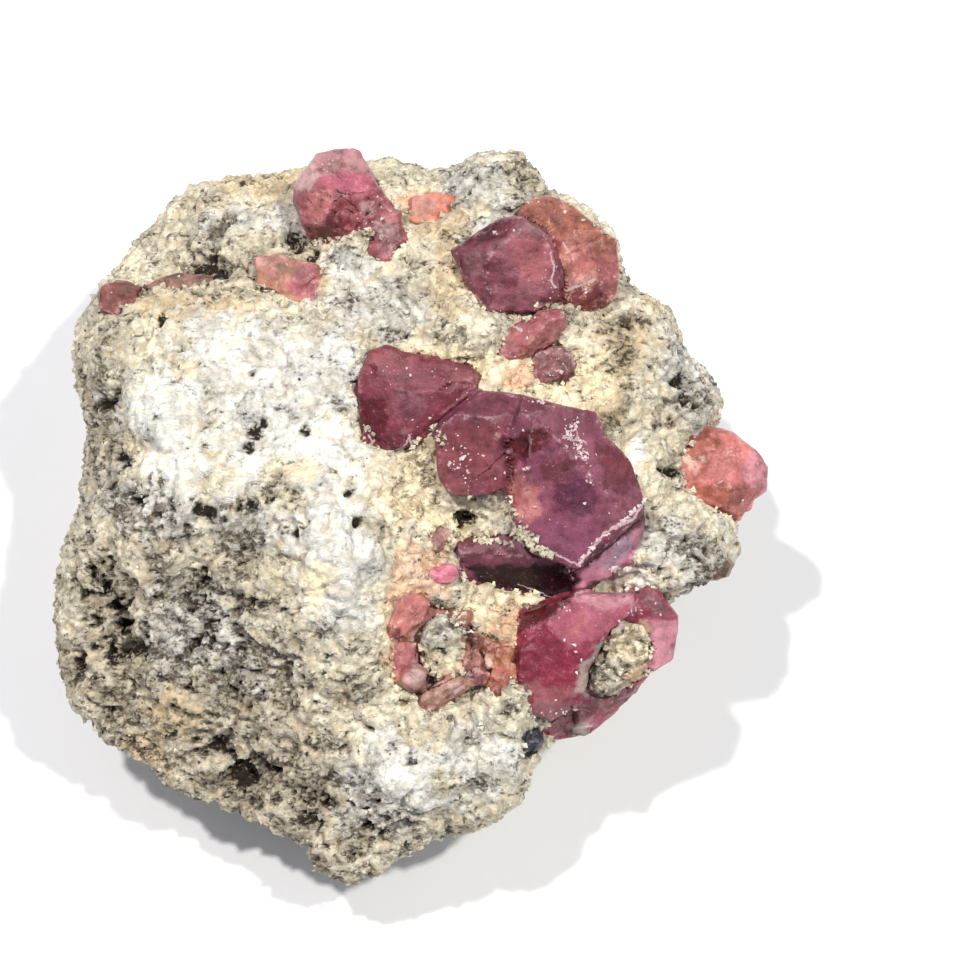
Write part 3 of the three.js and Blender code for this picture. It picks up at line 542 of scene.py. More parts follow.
class GarnetColours(bpy.types.PropertyGroup):
    """The body colour of each garnet."""

    main_garnet: colour("Large Plum", "The largest crystal", 0.260, 0.067, 0.110)
    left_garnet: colour("Wine", "The crystal at its upper left", 0.243, 0.047, 0.067)
    top_garnet: colour("Rose", "The crystal at the top", 0.457, 0.138, 0.156)
    purple_garnet: colour("Mauve", "The front one of the upper right pair", 0.285, 0.089, 0.110)
    orange_garnet: colour("Brick", "The rear one of the upper right pair", 0.424, 0.156, 0.112)
    raspberry_garnet: colour("Raspberry", "The hollow crystal", 0.350, 0.050, 0.092)
    right_garnet: colour("Coral Pink", "The crystal on the right edge", 0.633, 0.201, 0.176)
    salmon_garnet: colour("Salmon", "The flat crystal by the top one", 0.82, 0.29, 0.20)
    pink_shard: colour("Shard Pink", "The broken crystal below the pair", 0.446, 0.163, 0.150)
    plum_druse: colour("Druse Plum", "The cluster beside it", 0.277, 0.115, 0.115)
    ring_garnet: colour("Dull Salmon", "The ring of broken crystal", 0.481, 0.197, 0.150)
    pink_bud: colour("Bright Pink", "The small bud by the shelf", 0.70, 0.21, 0.28)
    rose_bud: colour("Rose Grey", "The grey bud above it", 0.50, 0.27, 0.24)
    orange_grains: colour("Amber", "The grains beside the ring", 0.50, 0.20, 0.10)
    wedge_garnet: colour("Apricot", "The wedge at the upper left", 0.57, 0.26, 0.19)
    edge_garnet: colour("Dusty Mauve", "The crystal on the left edge", 0.25, 0.085, 0.065)
    brown_garnet: colour("Brown Mauve", "The thin one beside it", 0.322, 0.170, 0.126)
    dark_grain: colour("Blue Black", "The dark grain at the bottom", 0.035, 0.037, 0.050)
    brown_bud: colour("Brown", "The bud on the pale lobe", 0.24, 0.14, 0.08)


class GarnetTones(bpy.types.PropertyGroup):
    """Tones that facets and flaws of the garnets share."""

    # Black is painted shade for facets turned away from the lights.
    black: colour("Black", "Facets that look into the dark", 0.018, 0.002, 0.005)
    # Brown Black is painted shade in the deep gaps of broken crystal.
    brown_black: colour("Brown Black", "Deep gaps in broken crystal", 0.06, 0.025, 0.012)
    ox_blood: colour("Ox Blood", "Deep red shade", 0.1, 0.006, 0.01)
    dark_wine: colour("Dark Wine", "Dark veils in the wine-red crystals", 0.14, 0.024, 0.034)
    violet: colour("Violet", "Cool depths of the plum crystals", 0.13, 0.026, 0.058)
    wine: colour("Wine Red", "Clear wine red", 0.21, 0.038, 0.048)
    plum: colour("Plum", "Dull plum", 0.22, 0.062, 0.085)
    magenta: colour("Magenta", "Plum facets that catch the light", 0.27, 0.07, 0.13)
    crimson: colour("Crimson", "The clearest raspberry red", 0.29, 0.026, 0.052)
    maroon: colour("Maroon", "Warm brownish red", 0.29, 0.07, 0.078)
    # Orchid is bright mauve with painted light added, for the polished side of the large crystal.
    orchid: colour("Orchid", "Bright mauve facets", 0.68, 0.29, 0.38)
    dusky_rose: colour("Dusky Rose", "Greyed rose", 0.28, 0.12, 0.125)
    rose: colour("Rose", "Clear rose", 0.4, 0.12, 0.13)
    pink: colour("Pink", "Bright pink facets", 0.52, 0.14, 0.19)
    brick: colour("Brick", "Brownish orange", 0.38, 0.12, 0.08)
    coral: colour("Coral", "Orange pink", 0.57, 0.19, 0.17)
    peach: colour("Peach", "Light orange pink", 0.68, 0.33, 0.27)
    pale_pink: colour("Pale Pink", "Light pink", 0.72, 0.31, 0.36)
    haze: colour("Haze", "Milky veils", 0.57, 0.36, 0.34)
    lilac: colour("Lilac", "Bluish glare of a polished side", 0.56, 0.37, 0.47)
    tan: colour("Tan", "Brownish veils", 0.42, 0.24, 0.17)
    crust: colour("Crust", "Thin films of grey crust", 0.48, 0.42, 0.35)
    cream: colour("Cream", "Thin films of cream crust", 0.78, 0.57, 0.45)


class StageSettings(bpy.types.PropertyGroup):
    """Floor, lights and camera."""

    floor: colour("Floor", "The pale floor", 0.92, 0.92, 0.92)
    room: FloatProperty(name="Room Light", description="Light from all round", default=0.34)
    right: FloatProperty(name="Right Light", description="Light from the right", default=1.92)
    left: FloatProperty(name="Left Light", description="Light from the left", default=2.05)
    softness: FloatProperty(
        name="Softness", description="Width of both lights", subtype="ANGLE",
        default=math.radians(3.2),
    )
    distance: length("Distance", "From the camera to the display face", 430)
    lens: FloatProperty(name="Lens", description="Focal length in millimetres", default=175)


# ------------------------------------------------------------------ the matrix

def matrix_masks(places, noise):
    """How much of each kind of patch lies at each place, from 0 to 1."""
    face = to_face(places)
    front = step(*PATCH_FOOT, face[:, 2])
    wander = 0.55 * noise.swell(places, 3.2) + 0.4 * noise.swell(places, 1.3)
    wander += 0.25 * noise.swell(places + 8.0, 0.6)
    masks = {}
    for kind, patches in PATCHES.items():
        cover = np.zeros(len(places))
        for patch in patches:
            cover = np.maximum(cover, 1 - step(0.7, 1.15, ellipse(face, *patch) + wander))
        masks[kind] = cover * front
    behind = 1 - front
    broad = noise.swell(places + 31.0, 8.5)
    other = noise.swell(places + 77.0, 6.0)
    masks["white"] += 0.6 * behind * step(0.15, 0.55, broad)
    masks["dark"] += behind * step(-0.15, -0.6, broad)
    masks["cool"] += behind * step(0.2, 0.6, other)
    masks["ochre"] += behind * step(-0.42, -0.75, other)
    masks["dark"] *= 1 - 0.9 * masks["yellow"]
    return masks


def pit_depth(places, normals, noise):
    """Depth of the open pits at each place, in millimetres, and how much of each is in a pit."""
    ragged = 1 + 0.75 * noise.swell(places + 19.0, 1.1) + 0.4 * noise.swell(places, 0.5)
    face = to_face(places)
    facing = step(-0.2, 0.25, normals @ FACE_AXES[2])
    depth = np.zeros(len(places))
    inside = np.zeros(len(places))
    for x, y, radius, deep in PITS:
        reach = ragged * np.hypot(face[:, 0] - x, face[:, 1] - y) / radius
        depth = np.maximum(depth, deep * np.exp(-reach ** 3))
        inside = np.maximum(inside, 1 - step(0.55, 1.25, reach))
    return depth * facing, inside * facing


def knot_rise(places):
    face = to_face(places)
    rise = np.zeros(len(places))
    for *spot, high in KNOTS:
        rise = np.maximum(rise, high * np.sqrt(np.clip(1 - ellipse(face, *spot) ** 2, 0, 1)))
    return rise


def gap_cover(places, masks, noise):
    """Where ragged dark gaps break the rock, in clusters, most on the grey-brown slope: they are
    sunk in and get painted near-black shade.
    """
    cluster = noise.swell(places + 7.0, 4.2)
    ragged = 0.5 * noise.swell(places + 3.0, 1.3) + 0.45 * noise.swell(places + 9.0, 0.65)
    calm = 0.46 + 0.14 * masks["white"] - 0.2 * masks["dark"] - 0.08 * masks["cool"]
    return step(0.0, 0.12, ragged + 0.35 * cluster - calm)


def build_matrix(settings):
    whole = remeshed("matrix_rock", "matrix", settings.face_size)
    mesh = whole.data
    places = places_of(mesh)
    normals = vectors(mesh.vertex_normals, "vector")
    noise = Noise(ROCK_SEED)
    masks = matrix_masks(places, noise)
    bent = places + 1.2 * np.stack([noise.swell(places + at, 2.6) for at in (0, 20, 40)], 1)
    lumps, _ = noise.crumbs(bent + 5.0, LUMP)
    crumbs, _ = noise.crumbs(0.4 * places + 0.6 * bent + 50.0, CRUMB)
    grains = np.clip(1 - 1.8 * np.abs(noise.swell(places + 90.0, GRAIN)), 0, 1)
    tone = 0.5 + 0.5 * noise.swell(places + 15.0, 0.8)
    rugged = 1 - 0.2 * masks["white"] + 0.2 * masks["dark"]
    rise = settings.lump_rise / MM * (lumps - 0.72) * rugged
    rise += settings.crumb_rise / MM * (crumbs - 0.68) * rugged
    rise += settings.grain_rise / MM * (grains - 0.62) * rugged
    rise += 0.25 * (0.6 - np.abs(noise.swell(places + 70.0, 0.65)))
    gaps = gap_cover(places, masks, noise)
    depth, pitted = pit_depth(places, normals, noise)
    rise += knot_rise(places) * masks["white"] - depth - settings.gap_depth / MM * gaps
    crystals = tree_of([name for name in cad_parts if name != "matrix"])
    gap = distance_to(crystals, places, 1.6)
    close = 1 - step(0.45, 1.3, gap)
    seat = settings.seat / MM + 0.9 * (crumbs - 0.72) + 0.5 * (grains - 0.62)
    rise = rise * (1 - close) + close * seat
    rise *= step(0.0, 1.6, places[:, 2])
    moved = places + normals * rise[:, None]
    moved[:, 2] = np.maximum(moved[:, 2], 0)
    put(mesh, moved)
    # How low each place lies among the lumps; the stone's material paints it as shade.
    hollow = np.clip(1.2 - 0.5 * lumps - 0.55 * crumbs - 0.25 * grains, 0, 1)
    for kind, cover in masks.items():
        store(mesh, kind, cover)
    store(mesh, "hollow", hollow * (1 - close))
    # The pits and gaps, which the stone's material paints near black as shade.
    store(mesh, "pit", np.maximum(1.6 * pitted, gaps * (1 - close)))
    store(mesh, "tone", tone)
    material = stone_finish("matrix stone", 0.95)
    height = to_face(middles_of(mesh))[:, 2]
    low, high = np.quantile(height, (1 / 3, 2 / 3))
    shares = (height < low, (height >= low) & (height < high), height >= high)
    for name, chosen in zip(("rock_foot", "rock_sides", "rock_face"), shares):
        piece = whole.copy()
        piece.name = name
        piece.data = part_of(mesh, chosen)
        piece.data.name = name
        piece.data.shade_smooth()
        bpy.context.scene.collection.objects.link(piece)
        finish(piece, material, "matrix", "matrix")
    bpy.data.objects.remove(whole)


def part_of(mesh, chosen):
    """A copy of a mesh with only the chosen faces, lit as part of the whole."""
    shape = bmesh.new()
    shape.from_mesh(mesh)
    shape.faces.ensure_lookup_table()
    away = [shape.faces[i] for i in np.flatnonzero(~chosen)]
    bmesh.ops.delete(shape, geom=away, context="FACES")
    part = bpy.data.meshes.new(mesh.name)
    shape.to_mesh(part)
    shape.free()
    return part


def stone_finish(name, speckled):
    """Granular skarn: patches by kind, grains light and dark, painted brown and bluish shade in the
    gaps and creases, specks, and near-black painted shade in the pits.
    """
    kinds = bpy.context.scene.specimen_matrix
    paint = Paint(name, Roughness=0.9, Specular_IOR_Level=0.25)
    broad = paint.noise(3.4, 3)
    middle = paint.noise(1.3, 4, paint.squeezed(0.62, 1, 1), 0.6)
    fine = paint.noise(0.4, 4, paint.squeezed(0.75, 1, 1), 0.7)
    grains = paint.cells(0.75, paint.warped(0.9, 0.5))
    white = paint.attribute("white")
    cool = paint.attribute("cool")
    base = paint.mix(paint.attribute("dark") * 0.85, tuple(kinds.cream), tuple(kinds.dark))
    base = paint.mix(cool * 0.75, base, tuple(kinds.cool))
    base = paint.mix(paint.attribute("ochre") * 0.6, base, tuple(kinds.ochre))
    base = paint.mix(white, base, tuple(kinds.white))
    base = paint.mix(paint.attribute("yellow") * 0.85, base, tuple(kinds.yellow))
    base = paint.mix(paint.attribute("apricot") * 0.7, base, tuple(kinds.apricot))
    warm = paint.stretch(middle, 0.50, 0.66) * 0.45
    base = paint.mix(warm * (1 - 0.35 * white - 0.5 * cool), base, tuple(kinds.ochre))
    # Painted cool shade: a bluish tint where the bump sinks, most on the white and grey patches.
    chill = paint.stretch(middle, 0.48, 0.34) * (0.15 + 0.35 * white + 0.35 * cool)
    base = paint.mix(chill, base, tuple(kinds.bluish))
    bright = 1.5 * (fine - 0.5) + 1.2 * (broad - 0.5) + 0.3 * (paint.attribute("tone") - 0.5)
    base = paint.mix(1.0, base, paint.grey(0.97 + bright), "MULTIPLY")
    # Painted brown shade in the seams between the cells, where the bump sinks.
    seams = paint.stretch(grains + 0.8 * (fine - 0.5), 0.45, 0.8) * (0.4 - 0.2 * white)
    base = paint.mix(seams, base, tuple(kinds.crease_shade))
    calm = 0.04 * white - 0.05 * paint.attribute("dark") - 0.015 * cool
    # Painted brown shade where the mottle, and with it the bump, is lowest.
    mottle = 0.42 * fine + 0.58 * middle + 0.2 * (broad - 0.5) + calm
    base = paint.mix(paint.stretch(mottle, 0.48, 0.40) * 0.6, base, tuple(kinds.crease_shade))
    # Near-black painted shade in the deepest crevices of the mottle, partly dark mineral specks.
    gaps = paint.stretch(mottle, 0.425, 0.375) * (0.3 + 0.7 * paint.stretch(fine, 0.54, 0.42))
    base = paint.mix(gaps * speckled * 0.85, base, tuple(kinds.speck_and_shade))
    # Painted shade in the hollows between the lumps, deeper on the grey-brown slope.
    dim = paint.attribute("hollow") * (0.12 + 0.4 * paint.attribute("dark")) * speckled
    base = paint.mix(dim, base, tuple(kinds.crease_shade))
    # Near-black painted shade in the pits and gaps, strongest in the listed pits.
    shade = paint.stretch(0.6 * fine + 0.4 * middle, 0.62, 0.45) * 0.75 + 0.22
    base = paint.mix(paint.attribute("pit") * shade, base, tuple(kinds.speck_and_shade))
    height = 0.14 * (1 - grains) + 0.42 * fine + 0.44 * middle
    paint.surface(Base_Color=base, Normal=paint.bump(height, 0.5))
    return paint.material


# ------------------------------------------------------------------ loose grains

GRAIN_CORNERS = np.array([
    [1, 0, 0], [-1, 0, 0], [0, 1, 0], [0, -1, 0], [0, 0, 1], [0, 0, -1],
], float)
GRAIN_FACES = np.array([
    [0, 2, 4], [2, 1, 4], [1, 3, 4], [3, 0, 4], [2, 0, 5], [1, 2, 5], [3, 1, 5], [0, 3, 5],
])
CORNERS, SIDES = len(GRAIN_CORNERS), len(GRAIN_FACES)


def turned(rng, count):
    """Random rotations."""
    w, x, y, z = unit(rng.normal(size=(count, 4))).T
    return np.stack([
        np.stack([1 - 2 * (y * y + z * z), 2 * (x * y - z * w), 2 * (x * z + y * w)], -1),
        np.stack([2 * (x * y + z * w), 1 - 2 * (x * x + z * z), 2 * (y * z - x * w)], -1),
        np.stack([2 * (x * z - y * w), 2 * (y * z + x * w), 1 - 2 * (x * x + y * y)], -1),
    ], 1)


def grain_mesh(name, rng, middles, radii, flatness=1.0):
    """One mesh of many small angular grains, and the corners that each has."""
    count = len(middles)
    corners = GRAIN_CORNERS[None] * rng.uniform(0.65, 1.35, (count, CORNERS, 1))
    corners = corners + rng.uniform(-0.4, 0.4, (count, CORNERS, 3))
    corners[:, :, 2] *= flatness
    corners = np.einsum("nij,nkj->nki", turned(rng, count), corners)
    corners = middles[:, None] + corners * radii[:, None, None]
    faces = GRAIN_FACES[None] + CORNERS * np.arange(count)[:, None, None]
    mesh = bpy.data.meshes.new(name)
    mesh.vertices.add(count * CORNERS)
    mesh.loops.add(count * SIDES * 3)
    mesh.polygons.add(count * SIDES)
    mesh.loops.foreach_set("vertex_index", faces.ravel().astype(np.int32))
    mesh.polygons.foreach_set("loop_start", np.arange(0, count * SIDES * 3, 3, dtype=np.int32))
    mesh.update(calc_edges=True)
    put(mesh, corners.reshape(-1, 3))
    mesh.shade_flat()
    return mesh


def scattered(rng, mesh, count):
    """Random points on a mesh, evenly by area, with the surface's normals."""
    places = places_of(mesh)[triangles_of(mesh)]
    cross = np.cross(places[:, 1] - places[:, 0], places[:, 2] - places[:, 0])
    total = np.cumsum(np.linalg.norm(cross, axis=1))
    chosen = np.searchsorted(total, rng.random(count) * total[-1])
    a, b = rng.random((2, count, 1))
    flip = a + b > 1
    a, b = np.where(flip, 1 - a, a), np.where(flip, 1 - b, b)
    first, second, third = places[chosen].transpose(1, 0, 2)
    return first + a * (second - first) + b * (third - first), unit(cross[chosen])


def one_per_cell(points, spacing):
    """Which points to keep so that no two share a small cube."""
    cells = np.floor(points / spacing).astype(np.int64) + 512
    keys = (cells[:, 0] * 1024 + cells[:, 1]) * 1024 + cells[:, 2]
    return np.sort(np.unique(keys, return_index=True)[1])


def build_grains(settings):
    rng = np.random.default_rng(GRAIN_SEED)
    parts = [
        scattered(rng, bpy.data.objects[name].data, count) for name, count in GRAIN_TRIES.items()
    ]
    points = np.vstack([places for places, _ in parts])
    normals = np.vstack([facing for _, facing in parts])
    keep = (points[:, 2] > 0.25) & (normals[:, 2] > -0.75)
    points, normals = points[keep], normals[keep]
    keep = one_per_cell(points, settings.spacing / MM)
    points, normals = points[keep], normals[keep]
    crystals = tree_of(LOOKS)
    near = distance_to(crystals, points, 1.0)
    keep = near > 0.1
    points, normals, near = points[keep], normals[keep], near[keep]
    noise = Noise(ROCK_SEED)
    masks = matrix_masks(points, noise)
    _, pitted = pit_depth(points, normals, noise)
    keep = np.maximum(pitted, gap_cover(points, masks, noise)) < 0.3
    points, normals = points[keep], normals[keep]
    seam = 1 - step(0.35, 0.95, near[keep])
    masks = {kind: cover[keep] for kind, cover in masks.items()}
    drift = noise.swell(points + 13.0, 1.9)
    cluster = step(-0.35, 0.3, noise.swell(points + 57.0, 1.3))
    shown = rng.random(len(points)) > 0.25 + 0.6 * (1 - cluster) + 0.35 * masks["white"]
    shown |= rng.random(len(points)) < 0.6 * seam
    luck = rng.random(len(points))
    dark = (luck < 0.02 + 0.16 * masks["dark"] * step(-0.3, 0.5, drift)) & (seam < 0.2)
    glassy = ~dark & (luck > 0.93 - 0.12 * masks["cool"] - 0.04 * masks["dark"]) & (seam < 0.2)
    glassy &= rng.random(len(points)) > masks["white"] * 0.7
    dark &= shown
    glassy &= shown
    white = shown & ~dark & ~glassy & (rng.random(len(points)) < masks["white"] * 0.9)
    cream = shown & ~(dark | glassy | white)
    left = to_face(points)[:, 0] < np.median(to_face(points[cream])[:, 0])
    kinds = {
        "cream_grains_left": (cream & left, stone_finish("cream grain", 0.3)),
        "cream_grains_right": (cream & ~left, bpy.data.materials["cream grain"]),
        "white_grains": (white, bpy.data.materials["cream grain"]),
        "glassy_grains": (glassy, glassy_finish()),
        "dark_grains": (dark, dark_finish()),
    }
    for name, (chosen, material) in kinds.items():
        index = np.flatnonzero(chosen)
        if len(index) > settings.most:
            index = np.sort(rng.permutation(index)[:settings.most])
        spread = (settings.largest - settings.smallest) * rng.random(len(index)) ** 1.6
        radii = (settings.smallest + spread) / MM * (1 + 0.3 * seam[index])
        if name in ("dark_grains", "white_grains"):
            radii *= 0.85
        middles = points[index] + normals[index] * (radii * (0.75 * seam[index] - 0.1))[:, None]
        middles[:, 2] = np.maximum(middles[:, 2], radii * 1.6)
        mesh = grain_mesh(name, rng, middles, radii)
        for kind, cover in masks.items():
            store(mesh, kind, np.repeat(cover[index], CORNERS))
        store(mesh, "tone", np.repeat(rng.random(len(index)), CORNERS))
        for kind in ("hollow", "pit"):
            store(mesh, kind, np.zeros(len(index) * CORNERS))
        finish(object_of(name, mesh), material, "matrix")


def glassy_finish():
    """Grey translucent quartz and calcite grains."""
    kinds = bpy.context.scene.specimen_matrix
    paint = Paint("glassy grain", Roughness=0.35, Transmission_Weight=0.25)
    base = paint.mix(paint.attribute("tone"), tuple(kinds.cool), tuple(kinds.white))
    base = paint.mix(paint.attribute("dark") * 0.5, base, tuple(kinds.dark))
    base = paint.mix(paint.attribute("yellow") * 0.6, base, tuple(kinds.yellow))
    base = paint.mix(0.25 * paint.noise(0.3), base, tuple(kinds.speck_and_shade))
    paint.surface(Base_Color=base)
    return paint.material


def dark_finish():
    """Black and brown mineral grains."""
    kinds = bpy.context.scene.specimen_matrix
    paint = Paint("dark grain mineral", Roughness=0.45)
    brown = paint.mix(paint.noise(0.9), tuple(kinds.speck_and_shade), tuple(kinds.dark))
    base = paint.mix(paint.stretch(paint.attribute("tone"), 0.4, 1.0), tuple(kinds.speck_and_shade), brown)
    paint.surface(Base_Color=base)
    return paint.material


# ------------------------------------------------------------------ the garnets

@dataclass
class Look:
    """How one garnet looks beside its body colour, and how finely it is meshed."""

    slot: str
    deep: tuple
    light: tuple
    spots: tuple = ()
    patches: tuple = ()
    strokes: tuple = ()
    dents: tuple = ()
    face: float = 0.2
    rough: float = 0.30
    frosted: float = 0.3
    see_through: float = 0.2
    streak: tuple = (1, 1, 1)
    paleness: float = 0.55
    cloudy: float = 0.3
    mottled: float = 1.0


